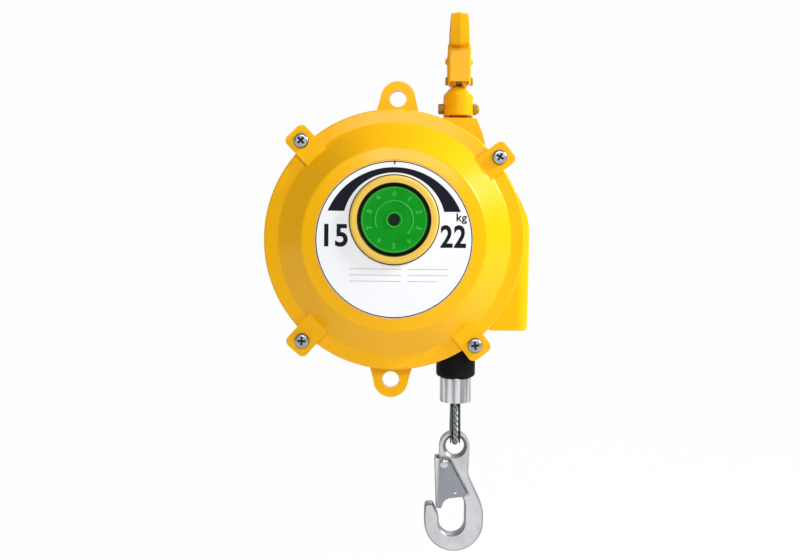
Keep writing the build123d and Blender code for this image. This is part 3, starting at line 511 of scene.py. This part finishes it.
@dataclass(frozen=True)
class Moulded:
    """Moulded plastic or rubber."""

    name: str
    colour: Colour
    pale: Colour
    roughness: float = 0.5
    depth: float = 0.00002
    shine: float = 0.25

    def build(self) -> bpy.types.Material:
        """Makes the material."""
        g = Graph(self.name)
        cloud = g.noise(90.0, 4.0)
        fine = g.noise(1300.0, 2.0)
        tone = g.mix((cloud - 0.35) * 1.2, self.colour, self.pale)
        return g.finish(Base_Color=tone, Roughness=fine * 0.15 + cloud * 0.15 + (self.roughness - 0.15),
                        Specular_IOR_Level=self.shine, Normal=g.bump(fine + cloud * 0.5, self.depth, 0.7))


@dataclass(frozen=True)
class Ink:
    """Screen-printed ink or paint in raised lettering."""

    name: str
    colour: Colour
    roughness: float = 0.42

    def build(self) -> bpy.types.Material:
        """Makes the material."""
        g = Graph(self.name)
        mottle = g.noise(700.0, 3.0)
        tone = g.mix(mottle * 0.35, self.colour, tuple(min(1.0, c * 1.6 + 0.01) for c in self.colour))
        return g.finish(Base_Color=tone, Roughness=mottle * 0.16 + (self.roughness - 0.08),
                        Specular_IOR_Level=0.12, Normal=g.bump(mottle, 0.00001, 0.5))


@dataclass(frozen=True)
class PrintedPlate:
    """White name plate with its capacity wedge, rings and ruled fields printed in dark ink."""

    name: str = "name_plate_print"
    white: Colour = (0.93, 0.945, 0.97)
    ink: Colour = (0.005, 0.006, 0.016)
    edge_r: float = 61.5
    dial_r: float = 35.5
    outer_r: float = 57.0
    inner_r: float = 40.5
    inner_rise: float = 12.2
    cut: float = 22.1
    soft: float = 0.16
    edge_line: float = 0.45
    dial_rise: float = 15.5
    dial_line: float = 0.42
    tick_half: tuple[float, float] = (0.45, 0.75)
    tick_from: tuple[float, float] = (59.0, 59.3)
    rule_half: float = 0.17
    rule_fade: float = 0.4
    rules: tuple[tuple[float, float, float], ...] = (
        (-23.4, -35.0, 6.0), (-28.2, -35.0, 6.0), (-33.0, -35.0, 6.0),
        (-23.4, 11.0, 43.0), (-28.2, 11.0, 43.0), (-33.0, 11.0, 34.0))

    def build(self) -> bpy.types.Material:
        """Makes the material."""
        g = Graph(self.name)
        x, _, z = g.place()
        x = (x - DRUM_AXIS[0]) * 1000.0
        z = (z - DRUM_AXIS[2]) * 1000.0

        def radius(rise: float) -> Number:
            """Distance from a point on the plate's upright centre line."""
            up = z - rise
            return (x * x + up * up) ** 0.5

        def line(distance: Number, at: float, half: float) -> Number:
            """A thin printed line where a distance has a value."""
            return abs(distance - at).step(half + self.soft, half - self.soft)

        from_centre = radius(0.0)
        wedge = from_centre.step(self.outer_r + self.soft, self.outer_r - self.soft)
        wedge = wedge * radius(self.inner_rise).step(self.inner_r - self.soft, self.inner_r + self.soft)
        wedge = wedge * z.step(self.cut - self.soft, self.cut + self.soft)
        rings = line(from_centre, self.edge_r, self.edge_line)
        rings = rings.most(line(radius(self.dial_rise), self.dial_r, self.dial_line))
        tick = abs(x).step(*reversed(self.tick_half)) * from_centre.step(*self.tick_from) * z.step(0.0, 1.0)
        fields = None
        for rise, start, end in self.rules:
            rule = line(z, rise, self.rule_half)
            rule = rule * x.step(start, start + self.rule_fade) * x.step(end, end - self.rule_fade)
            fields = rule if fields is None else fields.most(rule)
        printed = wedge.most(rings).most(tick).most(fields * 0.75)
        mottle = g.noise(240.0, 4.0)
        white = g.mix(mottle * 0.25, self.white, tuple(c * 0.93 for c in self.white))
        tone = g.mix(printed, white, self.ink)
        return g.finish(Base_Color=tone, Roughness=mottle * 0.1 + 0.3 + printed * 0.1, Coat_Weight=0.03,
                        Coat_Roughness=0.1, Specular_IOR_Level=0.12,
                        Normal=g.bump(mottle * 0.1 + printed, 0.00003, 0.5))


@dataclass(frozen=True)
class WireRope:
    """Galvanised strands: fine wires laid across each strand, read from Object coordinates."""

    name: str = "galvanised_strand"
    colour: Colour = (0.42, 0.47, 0.43)
    dark: Colour = (0.07, 0.08, 0.075)
    pitch: float = 0.0

    def build(self) -> bpy.types.Material:
        """Makes the material."""
        g = Graph(self.name)
        grease = g.noise(500.0, 4.0)
        wires = g.noise(2600.0, 2.0, (1.0, 1.0, 0.35))
        shade = grease * 0.7
        if self.pitch:
            x, _, z = g.place()
            # Painted shade: slanting dark stripes along the lay, in the grooves between strands.
            shade = shade + ((z + x * 1.1) * (2000.0 * math.pi / self.pitch)).sin() * 0.32
        tone = g.mix(shade, self.colour, self.dark)
        return g.finish(Base_Color=tone, Metallic=0.9, Roughness=grease * 0.3 + 0.26,
                        Normal=g.bump(wires, 0.00012, 0.8))


@dataclass(frozen=True)
class RopeTurns:
    """Solid rope nodes inside the casing, with the lay of the strands as a slanting relief and as painted shade
    in the grooves between strands.
    """

    name: str = "rope_lay"
    colour: Colour = (0.42, 0.45, 0.40)
    dark: Colour = (0.12, 0.13, 0.12)
    pitch: float = 5.0

    def build(self) -> bpy.types.Material:
        """Makes the material."""
        g = Graph(self.name)
        x, y, z = g.place()
        slant = (x + z + y * 1.5) * (1000.0 * 2.0 * math.pi / self.pitch)
        lay = slant.sin() * 0.5 + 0.5
        grime = g.noise(300.0, 4.0)
        # Painted shade: the slanting lay darkens the grooves between strands.
        tone = g.mix(lay * 0.6 + grime * 0.3, self.dark, self.colour)
        return g.finish(Base_Color=tone, Metallic=0.9, Roughness=grime * 0.25 + 0.3,
                        Normal=g.bump(lay, 0.0004, 0.8))


class Paintbox:
    """Every finish, made once, and the CAD nodes that take it."""

    def __init__(self) -> None:
        """Makes the materials."""
        yellow: Colour = (0.98, 0.50, 0.0)
        amber: Colour = (0.90, 0.42, 0.0)
        steel: Colour = (0.72, 0.73, 0.74)
        grey: Colour = (0.42, 0.43, 0.45)
        self.enamel = Enamel("yellow_enamel", yellow, amber).build()
        self.cover_enamel = CoverEnamel("cover_enamel", yellow, amber, coat=0.12, shine=0.2).build()
        self.hook_enamel = Enamel("hook_enamel", (0.93, 0.44, 0.0), (0.78, 0.31, 0.0),
                                  0.32, 0.03, 0.00006, 0.12).build()
        self.plate = PrintedPlate().build()
        self.green = Moulded("dial_green", (0.0, 0.27, 0.008), (0.004, 0.35, 0.02), 0.5, 0.00003, 0.1).build()
        self.relief = Moulded("dial_relief", (0.05, 0.46, 0.06), (0.1, 0.56, 0.1), 0.5, 0.00001, 0.15).build()
        # Painted shade: the pin, its nut and the latch rivet take a dark brown copy of the hook's yellow
        # enamel.
        self.worn = Enamel("painted_shade_enamel", (0.40, 0.25, 0.012), (0.09, 0.06, 0.012),
                           0.36, 0.04, 0.00006, 0.2).build()
        self.zinc = Plated("zinc_plate", steel, grey, 0.3, (1.0, 1.0, 1.0), 0.00003).build()
        self.forged = Forging("satin_forging", (0.76, 0.77, 0.79), (0.52, 0.53, 0.56), 0.42, (1.0, 1.0, 0.25),
                              0.00006).build()
        self.screw = ScrewZinc("screw_zinc", (0.52, 0.56, 0.62), (0.22, 0.24, 0.28), 0.3, (1.0, 1.0, 1.0),
                               0.00004,
                               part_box("cover_screws")[0].y).build()
        self.latch = PressedLatch("pressed_latch", (0.37, 0.39, 0.43), (0.24, 0.25, 0.28),
                                  0.36, (1.0, 1.0, 0.2),
                                  0.00002).build()
        self.thimble = Plated("thimble_plate", (0.07, 0.075, 0.08), (0.03, 0.03, 0.035),
                              0.36, (1.0, 1.0, 0.5), 0.00002).build()
        # Painted reflection: light and dark bands along the ferrule.
        self.ferrule = DrawnSleeve("pressed_ferrule", (0.86, 0.87, 0.89), (0.26, 0.27, 0.3),
                                   0.24, (1.0, 1.0, 0.03),
                                   0.00003).build()
        self.turned = Plated("turned_steel", (0.6, 0.6, 0.62), (0.36, 0.36, 0.38), 0.3, (1.0, 0.1, 1.0),
                             0.00002).build()
        self.spring = Plated("blued_spring", (0.2, 0.22, 0.27), (0.1, 0.1, 0.13), 0.32, (1.0, 0.2, 1.0),
                             0.00002).build()
        self.black_oxide = Plated("black_oxide", (0.028, 0.032, 0.028), (0.01, 0.012, 0.011),
                                  0.4, (1.0, 1.0, 1.0),
                                  0.00003).build()
        self.race = Plated("bearing_race", (0.8, 0.8, 0.82), (0.6, 0.6, 0.62), 0.14, (1.0, 1.0, 1.0),
                           0.00001).build()
        self.alloy = Cast("cast_alloy", (0.62, 0.63, 0.64), (0.42, 0.43, 0.44), 0.9, 0.5).build()
        self.iron = Cast("drum_iron", (0.16, 0.16, 0.165), (0.07, 0.07, 0.075), 0.7, 0.6).build()
        self.bronze = Plated("bearing_bronze", (0.72, 0.48, 0.2), (0.5, 0.3, 0.12), 0.35, (1.0, 1.0, 1.0),
                             0.00003).build()
        self.rubber = Moulded("buffer_rubber", (0.006, 0.006, 0.008), (0.012, 0.012, 0.013),
                              0.6, 0.00006, 0.06).build()
        self.nylon = Moulded("guide_nylon", (0.03, 0.03, 0.03), (0.06, 0.06, 0.06), 0.45, 0.00003).build()
        self.pinion = Moulded("pinion_acetal", (0.7, 0.7, 0.66), (0.8, 0.8, 0.76), 0.45, 0.00002).build()
        self.ink = Ink("plate_ink", (0.004, 0.005, 0.014)).build()
        self.strand = WireRope().build()
        self.loop_strand = WireRope("thimble_strand", pitch=4.4).build()
        self.rope = RopeTurns().build()

    def table(self) -> dict[str, bpy.types.Material]:
        """Which finish each CAD node takes.

        Returns:
            Materials by node name.
        """
        groups: list[tuple[bpy.types.Material, str]] = [
            (self.enamel, "housing"),
            (self.cover_enamel, "front_cover"),
            (self.hook_enamel, "upper_hook upper_latch swivel_block"),
            (self.worn, "hanger_pin hanger_pin_nut upper_latch_rivet"),
            (self.plate, "name_plate"),
            (self.green, "tension_dial"),
            (self.pinion, "dial_pinion"),
            (self.screw, "cover_screws"),
            (self.zinc, "case_lid_screws cap_screws shaft_circlip hook_washer hook_nut "
                        "lower_latch_rivet worm_retainer"),
            (self.black_oxide, "dial_screw"),
            (self.thimble, "thimble"),
            (self.latch, "lower_latch"),
            (self.turned, "drum_shaft spring_arbor worm"),
            (self.spring, "mainspring upper_latch_spring lower_latch_spring"),
            (self.race, "front_bearing rear_bearing"),
            (self.alloy, "spring_case spring_case_lid worm_wheel rear_bearing_cap"),
            (self.iron, "drum"),
            (self.bronze, "case_bush worm_upper_bush"),
            (self.rubber, "rubber_buffer"),
            (self.nylon, "cable_guide"),
            (self.rope, "rope_on_drum rope_lead rope_run rope_loop"),
            (self.ferrule, "rope_ferrule"),
            (self.forged, "lower_hook"),
        ]
        return {node: finish for finish, nodes in groups for node in nodes.split()}

    def dress(self, nodes: dict[str, bpy.types.Object]) -> None:
        """Gives every CAD node its finish.

        Args:
            nodes: the frame's nodes by name.
        """
        table = self.table()
        for name, node in nodes.items():
            finish = table[name]
            for held in node.material_slots:
                held.material = finish
            if not node.material_slots:
                node.data.materials.append(finish)
            log.info("node %s takes %s", name, finish.name)


# ---------------------------------------------------------------- mesh helpers
def new_piece(name: str, mesh: bmesh.types.BMesh, finish: bpy.types.Material,
              smooth: bool = True) -> bpy.types.Object:
    """Turns a bmesh into an object at the origin.

    Args:
        name: the piece's name.
        mesh: its shape, in the row frame.
        finish: its material.
        smooth: whether its faces shade smoothly.

    Returns:
        The object.
    """
    bmesh.ops.recalc_face_normals(mesh, faces=mesh.faces)
    data = bpy.data.meshes.new(name)
    mesh.to_mesh(data)
    mesh.free()
    data.materials.append(finish)
    data.polygons.foreach_set("use_smooth", [smooth] * len(data.polygons))
    made = bpy.data.objects.new(name, data)
    bpy.context.scene.collection.objects.link(made)
    log.info("piece %s: %d faces", name, len(data.polygons))
    return made


def lettering(words: str, size: float, bold: float, height: float, spacing: float = 1.0) -> bmesh.types.BMesh:
    """Words as a flat raised mesh in the XY plane.

    Args:
        words: what is written.
        size: the type size.
        bold: how much the strokes are fattened, as a share of the size.
        height: how far the letters stand up.
        spacing: how far apart they are set, 1 for the type's own.

    Returns:
        The letters, centred on the origin.
    """
    text = bpy.data.curves.new("type", "FONT")
    text.body = words
    text.size = size
    text.offset = bold * size
    text.extrude = height / 2
    text.space_character = spacing
    text.resolution_u = 6
    text.align_x = "CENTER"
    held = bpy.data.objects.new("type", text)
    bpy.context.scene.collection.objects.link(held)
    bpy.context.view_layer.update()
    data = bpy.data.meshes.new_from_object(held)
    mesh = bmesh.new()
    mesh.from_mesh(data)
    bpy.data.objects.remove(held)
    bpy.data.curves.remove(text)
    bpy.data.meshes.remove(data)
    bmesh.ops.remove_doubles(mesh, verts=mesh.verts, dist=1e-7)
    low, high = corners(mesh)
    bmesh.ops.translate(mesh, verts=mesh.verts, vec=-(low + high) / 2)
    return mesh


def turn(mesh: bmesh.types.BMesh, angle: float, axis: str) -> None:
    """Turns a whole mesh about an axis through the origin, by an angle in radians."""
    bmesh.ops.rotate(mesh, verts=mesh.verts, cent=(0, 0, 0), matrix=Matrix.Rotation(angle, 3, axis))


def corners(mesh: bmesh.types.BMesh) -> tuple[Vector, Vector]:
    """Lowest and highest corner of a mesh."""
    low = Vector([min(v.co[i] for v in mesh.verts) for i in range(3)])
    high = Vector([max(v.co[i] for v in mesh.verts) for i in range(3)])
    return low, high


def face_front(mesh: bmesh.types.BMesh, width: float, height: float, centre: Point) -> None:
    """Stands flat lettering up to face the front, fitted to a box.

    Args:
        mesh: the letters in the XY plane.
        width: the box's width along X, or 0 to keep the proportions.
        height: the box's height along Z.
        centre: the box's centre.
    """
    low, high = corners(mesh)
    up = height / (high.y - low.y)
    across = width / (high.x - low.x) if width else up
    bmesh.ops.scale(mesh, verts=mesh.verts, vec=(across, up, 1.0))
    turn(mesh, QUARTER, "X")
    bmesh.ops.translate(mesh, verts=mesh.verts, vec=centre)


def join_into(target: bmesh.types.BMesh, source: bmesh.types.BMesh) -> None:
    """Adds one bmesh to another and frees it."""
    data = bpy.data.meshes.new("join")
    source.to_mesh(data)
    source.free()
    target.from_mesh(data)
    bpy.data.meshes.remove(data)


# ---------------------------------------------------------------- sub-assemblies
@dataclass
class NamePlate:
    """The figures printed on the name plate."""

    body: str = "casing"
    lift: float = 0.05 * MM
    figures: list[tuple[str, float, float, float, float, float]] = field(default_factory=lambda: [
        ("15", -45.7, 2.8, 18.6, 18.0, 0.026),
        ("22", 46.7, 2.8, 20.2, 18.0, 0.026),
        ("kg", 53.2, 16.9, 8.2, 8.4, 0.02),
    ])

    def build(self, paint: Paintbox) -> bpy.types.Object:
        """Makes the figures.

        Args:
            paint: the finishes.

        Returns:
            One piece with every figure.
        """
        low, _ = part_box("name_plate")
        whole = bmesh.new()
        for words, x, z, width, height, bold in self.figures:
            letters = lettering(words, 1.0, bold, 0.0, 1.06)
            face_front(letters, width * MM, height * MM,
                       (DRUM_AXIS[0] + x * MM, low.y - self.lift, DRUM_AXIS[2] + z * MM))
            join_into(whole, letters)
        piece = new_piece("plate_figures", whole, paint.ink, smooth=False)
        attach(piece, self.body)
        return piece


@dataclass
class Dial:
    """Raised figures, ticks and the sweep arrow on the green dial."""

    body: str = "dial"
    figures: int = 10
    figure_r: float = 20.4
    figure_h: float = 4.3
    tick_r: float = 24.4
    sweep_r: float = 14.9
    sweep_from: float = -42.0
    sweep_to: float = 205.0
    relief: float = 0.22
    eye_r: float = 5.9
    rim_r: float = 25.2
    sweep_half: float = 0.42
    rim_half: float = 0.25
    eye_half: float = 0.3
    recess: float = 0.6
    ticks_per_figure: int = 5
    tick_short: float = 1.2
    tick_long: float = 2.0
    arrow_r: float = 1.5

    def figure_ring(self, front: float) -> bmesh.types.BMesh:
        """Numbers round the rim, each standing along its radius.

        Args:
            front: Y of the dial's face.

        Returns:
            The numbers.
        """
        whole = bmesh.new()
        for i in range(self.figures):
            angle = math.radians(90.0 - 360.0 / self.figures * i)
            letters = lettering(str(i), 1.0, 0.02, 1.0)
            low, high = corners(letters)
            bmesh.ops.scale(letters, verts=letters.verts,
                            vec=(self.figure_h * MM / (high.y - low.y),) * 2 + (self.relief * MM,))
            turn(letters, angle - QUARTER, "Z")
            bmesh.ops.translate(letters, verts=letters.verts,
                                vec=(self.figure_r * MM * math.cos(angle),
                                     self.figure_r * MM * math.sin(angle), 0.0))
            join_into(whole, letters)
        turn(whole, QUARTER, "X")
        bmesh.ops.translate(whole, verts=whole.verts, vec=(DIAL_AXIS[0], front, DIAL_AXIS[2]))
        return whole

    def bead(self, front: float, radius: float, half: float, start: float, end: float) -> bmesh.types.BMesh:
        """A round-topped bead along an arc of the dial's face.

        Args:
            front: Y of the dial's face.
            radius: the arc's radius in mm.
            half: half the bead's width in mm.
            start: first angle in degrees, from +X towards +Z.
            end: last angle in degrees.

        Returns:
            The bead.
        """
        mesh = bmesh.new()
        made = bmesh.ops.create_circle(mesh, cap_ends=False, segments=8, radius=half * MM)
        bmesh.ops.translate(mesh, verts=made["verts"], vec=(radius * MM, 0, 0))
        turn(mesh, math.radians(-start), "Y")
        full = abs(end - start) >= 360.0
        bmesh.ops.spin(mesh, geom=mesh.verts[:] + mesh.edges[:], cent=(0, 0, 0), axis=(0, -1, 0),
                       angle=math.radians(end - start), steps=96 if full else 64, use_merge=full)
        if not full:
            bmesh.ops.holes_fill(mesh, edges=[e for e in mesh.edges if e.is_boundary])
        bmesh.ops.translate(mesh, verts=mesh.verts, vec=(DIAL_AXIS[0], front, DIAL_AXIS[2]))
        return mesh

    def tick(self, front: float, angle: float, length: float) -> bmesh.types.BMesh:
        """One tick on the rim."""
        mesh = bmesh.new()
        bmesh.ops.create_cube(mesh, size=1.0)
        bmesh.ops.scale(mesh, verts=mesh.verts, vec=(length * MM, self.relief * MM, 0.3 * MM))
        bmesh.ops.bevel(mesh, geom=mesh.edges[:], offset=0.06 * MM, segments=1, profile=0.5,
                        affect="EDGES", material=-1)
        bmesh.ops.translate(mesh, verts=mesh.verts, vec=(self.tick_r * MM, 0, 0))
        turn(mesh, -angle, "Y")
        bmesh.ops.translate(mesh, verts=mesh.verts, vec=(DIAL_AXIS[0], front, DIAL_AXIS[2]))
        return mesh

    def arrow(self, front: float) -> bmesh.types.BMesh:
        """Arrow head at the end of the sweep."""
        mesh = bmesh.new()
        bmesh.ops.create_cone(mesh, cap_ends=True, segments=3, radius1=self.arrow_r * MM,
                              radius2=self.arrow_r * MM, depth=self.relief * MM)
        angle = math.radians(self.sweep_from)
        turn(mesh, angle - QUARTER, "Z")
        turn(mesh, QUARTER, "X")
        bmesh.ops.translate(mesh, verts=mesh.verts, vec=(
            DIAL_AXIS[0] + self.sweep_r * MM * math.cos(angle), front,
            DIAL_AXIS[2] + self.sweep_r * MM * math.sin(angle)))
        return mesh

    def build(self, paint: Paintbox) -> bpy.types.Object:
        """Makes the relief.

        Args:
            paint: the finishes.

        Returns:
            One piece with every raised mark.
        """
        low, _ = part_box("tension_dial")
        front = low.y + self.recess * MM
        whole = self.figure_ring(front)
        join_into(whole, self.bead(front, self.sweep_r, self.sweep_half, self.sweep_from, self.sweep_to))
        join_into(whole, self.bead(front, self.rim_r, self.rim_half, 0.0, 360.0))
        join_into(whole, self.bead(low.y, self.eye_r, self.eye_half, 0.0, 360.0))
        join_into(whole, self.arrow(front))
        ticks = self.figures * self.ticks_per_figure
        for i in range(ticks):
            length = self.tick_short if i % self.ticks_per_figure else self.tick_long
            join_into(whole, self.tick(front, 2 * math.pi * i / ticks + math.pi / 2, length))
        piece = new_piece("dial_marks", whole, paint.relief, smooth=False)
        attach(piece, self.body)
        return piece


@dataclass
class Rope:
    """Stranded wire rope: six outer strands round a core."""

    radius: float = ROPE_R
    strands: int = 6
    lay: float = 30.0 * MM
    turn: Strand = Strand.RIGHT
    sides: int = 7

    def strand_radius(self) -> float:
        """Radius of one strand, so that all of them touch."""
        share = math.sin(math.pi / self.strands)
        return self.radius * share / (1 + share) * 1.03

    def tubes(self, route: Sequence[Vector], side: Callable[[int], Vector], closed_ends: bool = True
              ) -> bmesh.types.BMesh:
        """Winds the strands along a route.

        Args:
            route: points along the rope's middle.
            side: a unit vector square to the route at each point.
            closed_ends: whether each strand's ends are capped.

        Returns:
            The strands and their core.
        """
        small = self.strand_radius()
        whole = bmesh.new()
        lengths = [0.0]
        for a, b in zip(route, route[1:]):
            lengths.append(lengths[-1] + (b - a).length)
        for s in range(self.strands + 1):
            core = s == self.strands
            middle: list[Vector] = []
            for i, point in enumerate(route):
                ahead = route[min(i + 1, len(route) - 1)] - route[max(i - 1, 0)]
                across = side(i)
                other = ahead.normalized().cross(across).normalized()
                phase = 2 * math.pi * (s / self.strands + self.turn.value * lengths[i] / self.lay)
                out = 0.0 if core else self.radius - small
                middle.append(point + (across * math.cos(phase) + other * math.sin(phase)) * out)
            join_into(whole, sweep_circle(middle, small, 5 if core else self.sides, closed_ends))
        return whole


def sweep_circle(route: Sequence[Vector], radius: float, sides: int, caps: bool) -> bmesh.types.BMesh:
    """Carries a circle along a route by extruding its edges ring by ring.

    Args:
        route: the middle of the tube.
        radius: the tube's radius.
        sides: how many sides it has.
        caps: whether the ends are closed.

    Returns:
        The tube.
    """
    mesh = bmesh.new()
    ahead = (route[1] - route[0]).normalized()
    turn = ahead.to_track_quat("Z", "Y").to_matrix().to_4x4()
    made = bmesh.ops.create_circle(mesh, cap_ends=False, segments=sides, radius=radius,
                                   matrix=Matrix.Translation(route[0]) @ turn)
    first = [e for e in mesh.edges]
    ring_verts, ring_edges = made["verts"], first
    for i in range(1, len(route)):
        new = bmesh.ops.extrude_edge_only(mesh, edges=ring_edges)
        ring_verts = [g for g in new["geom"] if isinstance(g, bmesh.types.BMVert)]
        ring_edges = [g for g in new["geom"] if isinstance(g, bmesh.types.BMEdge)
                      and all(v in ring_verts for v in g.verts)]
        following = (route[min(i + 1, len(route) - 1)] - route[i - 1]).normalized()
        change = ahead.rotation_difference(following).to_matrix()
        bmesh.ops.rotate(mesh, verts=ring_verts, cent=route[i - 1], matrix=change)
        bmesh.ops.translate(mesh, verts=ring_verts, vec=route[i] - route[i - 1])
        ahead = following
    if caps:
        bmesh.ops.holes_fill(mesh, edges=first + ring_edges)
    return mesh


@dataclass
class RopeEnd:
    """The stretch of rope that is paid out, and the loop in its thimble."""

    travel: float = 1.5
    top: float = -260.5 * MM
    bottom: float = -292.5 * MM
    loop_seat: float = -351.2 * MM
    loop_apex: float = -318.2 * MM
    thimble_r: float = 6.5 * MM
    thimble_t: float = 0.8 * MM
    apex_r: float = 0.3 * MM
    loop_start: float = -319.0 * MM
    loop_lay: float = 26.0 * MM
    rings: int = 560
    halvings: int = 40
    leg_steps: int = 40
    arc_steps: int = 60

    def run(self, paint: Paintbox) -> bpy.types.Object:
        """Rope between the guide and the buffer, made at full length and then drawn in.

        Args:
            paint: the finishes.

        Returns:
            The piece.
        """
        rope = Rope()
        span = self.top - self.bottom
        length = span + self.travel
        route = [Vector((0.0, 0.0, self.top - length * i / self.rings)) for i in range(self.rings + 1)]
        mesh = rope.tubes(route, lambda i: Vector((1.0, 0.0, 0.0)))
        for vert in mesh.verts:
            down = min(max(self.top - vert.co.z, 0.0), length)
            low, high = 0.0, 1.0
            for _ in range(self.halvings):
                middle = (low + high) / 2
                if middle * span + self.travel * middle * middle * (3 - 2 * middle) < down:
                    low = middle
                else:
                    high = middle
            vert.co.z = self.top - low * span
        piece = new_piece("rope_run_strands", mesh, paint.strand)
        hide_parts("rope_run")
        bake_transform(piece)
        return piece

    def loop_route(self) -> list[Vector]:
        """Points round the loop, from one side of the ferrule to the other.

        Returns:
            The route in the plane X = 0.
        """
        offset = self.thimble_t + ROPE_R
        low_r, top_r = self.thimble_r + offset, self.apex_r + offset
        centre = self.loop_seat + self.thimble_r
        lean = math.asin((low_r - top_r) / (self.loop_apex - centre))
        high = Vector((0, top_r * math.cos(lean), self.loop_apex + top_r * math.sin(lean)))
        low = Vector((0, low_r * math.cos(lean), centre + low_r * math.sin(lean)))
        route = [high.lerp(low, i / self.leg_steps) for i in range(self.leg_steps)]
        for i in range(self.arc_steps + 1):
            angle = lean - (math.pi + 2 * lean) * i / self.arc_steps
            route.append(Vector((0, low_r * math.cos(angle), centre + low_r * math.sin(angle))))
        low_left, high_left = Vector((0, -low.y, low.z)), Vector((0, -high.y, high.z))
        route += [low_left.lerp(high_left, i / self.leg_steps) for i in range(1, self.leg_steps + 1)]
        return route

    def loop(self, paint: Paintbox) -> bpy.types.Object:
        """The rope's eye in its thimble.

        Args:
            paint: the finishes.

        Returns:
            The piece.
        """
        route = [p for p in self.loop_route() if p.z < self.loop_start]
        rope = Rope(lay=self.loop_lay)
        mesh = rope.tubes(route, lambda i: Vector((1.0, 0.0, 0.0)))
        piece = new_piece("rope_loop_strands", mesh, paint.loop_strand)
        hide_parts("rope_loop")
        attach(piece, "rope_end")
        return piece


@dataclass
class Studio:
    """Camera, lamps, floor and backdrop."""

    stand: Point = (-46.7 * MM, -720.0 * MM, -177.4 * MM)
    lens: float = 38.1
    shift: tuple[float, float] = (-0.0025, -0.0588)
    roll: float = -0.6
    floor_z: float = -0.62
    floor_half: float = 6.0
    floor_front: float = -5.0
    floor_run: float = 13.0
    bend_from: float = 0.5
    bend_share: float = 0.3
    bend_r: float = 1.0
    wall_run: float = 20.0
    glow: float = 0.97
    world_light: float = 0.24
    aim: Point = (-0.05, 0.0, -0.2)
    lamps: tuple[tuple[str, Point, float, float], ...] = (
        ("key", (1.15, -0.3, 0.55), 0.4, 21.0),
        ("front", (0.1, -1.9, 0.85), 1.0, 21.0),
        ("back", (0.4, 1.4, 0.6), 0.9, 8.0))

    def camera(self) -> None:
        """Sets the camera square to the front, with the object hung above the middle of the view."""
        data = bpy.data.cameras.new("front_camera")
        data.lens = self.lens
        data.sensor_width = 36.0
        data.shift_x, data.shift_y = self.shift
        made = bpy.data.objects.new("front_camera", data)
        made.location = self.stand
        made.rotation_euler = (math.radians(90), math.radians(self.roll), 0.0)
        bpy.context.scene.collection.objects.link(made)
        bpy.context.scene.camera = made

    def white(self, name: str, colour: Colour) -> bpy.types.Material:
        """Pale matt paper that the camera sees as white.

        Args:
            name: the material's name.
            colour: what it is lit as.

        Returns:
            The material.
        """
        g = Graph(name)
        paths = g.node("ShaderNodeLightPath")
        seen = Number(g, paths.outputs["Is Camera Ray"]).most(Number(g, paths.outputs["Is Glossy Ray"]))
        grain = g.noise(3.0)
        paper = g.node("ShaderNodeBsdfDiffuse", None, {"Color": g.mix(grain * 0.1, colour, (0.8, 0.8, 0.8))})
        glow = g.node("ShaderNodeEmission", None, {"Color": (1.0, 1.0, 1.0), "Strength": 1.0})
        mixed = g.node("ShaderNodeMixShader", None,
                       {0: seen * self.glow, 1: paper.outputs[0], 2: glow.outputs[0]})
        out = g.node("ShaderNodeOutputMaterial")
        g.tree.links.new(mixed.outputs[0], out.inputs["Surface"])
        return g.material

    def sweep(self) -> None:
        """Floor that curves up into a backdrop."""
        mesh = bmesh.new()
        made = bmesh.ops.create_grid(mesh, x_segments=1, y_segments=48, size=1.0)
        for vert in made["verts"]:
            along = (vert.co.y + 1) / 2
            vert.co.x *= self.floor_half
            if along < self.bend_from:
                vert.co.y, vert.co.z = self.floor_front + self.floor_run * along, 0.0
            else:
                angle = min((along - self.bend_from) / self.bend_share, 1.0) * math.pi / 2
                rise = max(along - self.bend_from - self.bend_share, 0.0) * self.wall_run
                vert.co.y = self.floor_front + self.floor_run * self.bend_from + self.bend_r * math.sin(angle)
                vert.co.z = self.bend_r * (1.0 - math.cos(angle)) + rise
        bmesh.ops.translate(mesh, verts=mesh.verts, vec=(0, 0, self.floor_z))
        piece = new_piece("studio_floor", mesh, self.white("studio_paper", (0.86, 0.86, 0.86)))

    def lamp(self, name: str, place: Point, aim: Point, size: float, power: float) -> None:
        """One soft lamp.

        Args:
            name: the lamp's name.
            place: where it stands.
            aim: what it points at.
            size: its side, in metres.
            power: its power, in watts.
        """
        data = bpy.data.lights.new(name, "AREA")
        data.shape = "SQUARE"
        data.size = size
        data.energy = power
        made = bpy.data.objects.new(name, data)
        made.location = place
        made.rotation_euler = (Vector(aim) - Vector(place)).to_track_quat("-Z", "Y").to_euler()
        bpy.context.scene.collection.objects.link(made)

    def build(self) -> None:
        """Sets up the whole studio."""
        self.camera()
        self.sweep()
        for name, place, size, power in self.lamps:
            self.lamp(name, place, self.aim, size, power)
        world = bpy.data.worlds.new("studio_world")
        world.use_nodes = True
        back = world.node_tree.nodes["Background"]
        back.inputs["Color"].default_value = (1.0, 1.0, 1.0, 1.0)
        back.inputs["Strength"].default_value = self.world_light
        bpy.context.scene.world = world
        bpy.context.scene.view_settings.view_transform = "Standard"


def main(frame: dict[str, Any]) -> None:
    """Builds everything in order.

    Args:
        frame: what the frame loader gave.
    """
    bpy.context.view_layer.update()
    Studio().build()
    paint = Paintbox()
    paint.dress(frame["nodes"])
    NamePlate().build(paint)
    Dial().build(paint)
    end = RopeEnd()
    end.run(paint)
    end.loop(paint)


if __name__ == "__main__":
    logging.basicConfig(level=logging.INFO, format="%(name)s: %(message)s")
    main(frame)
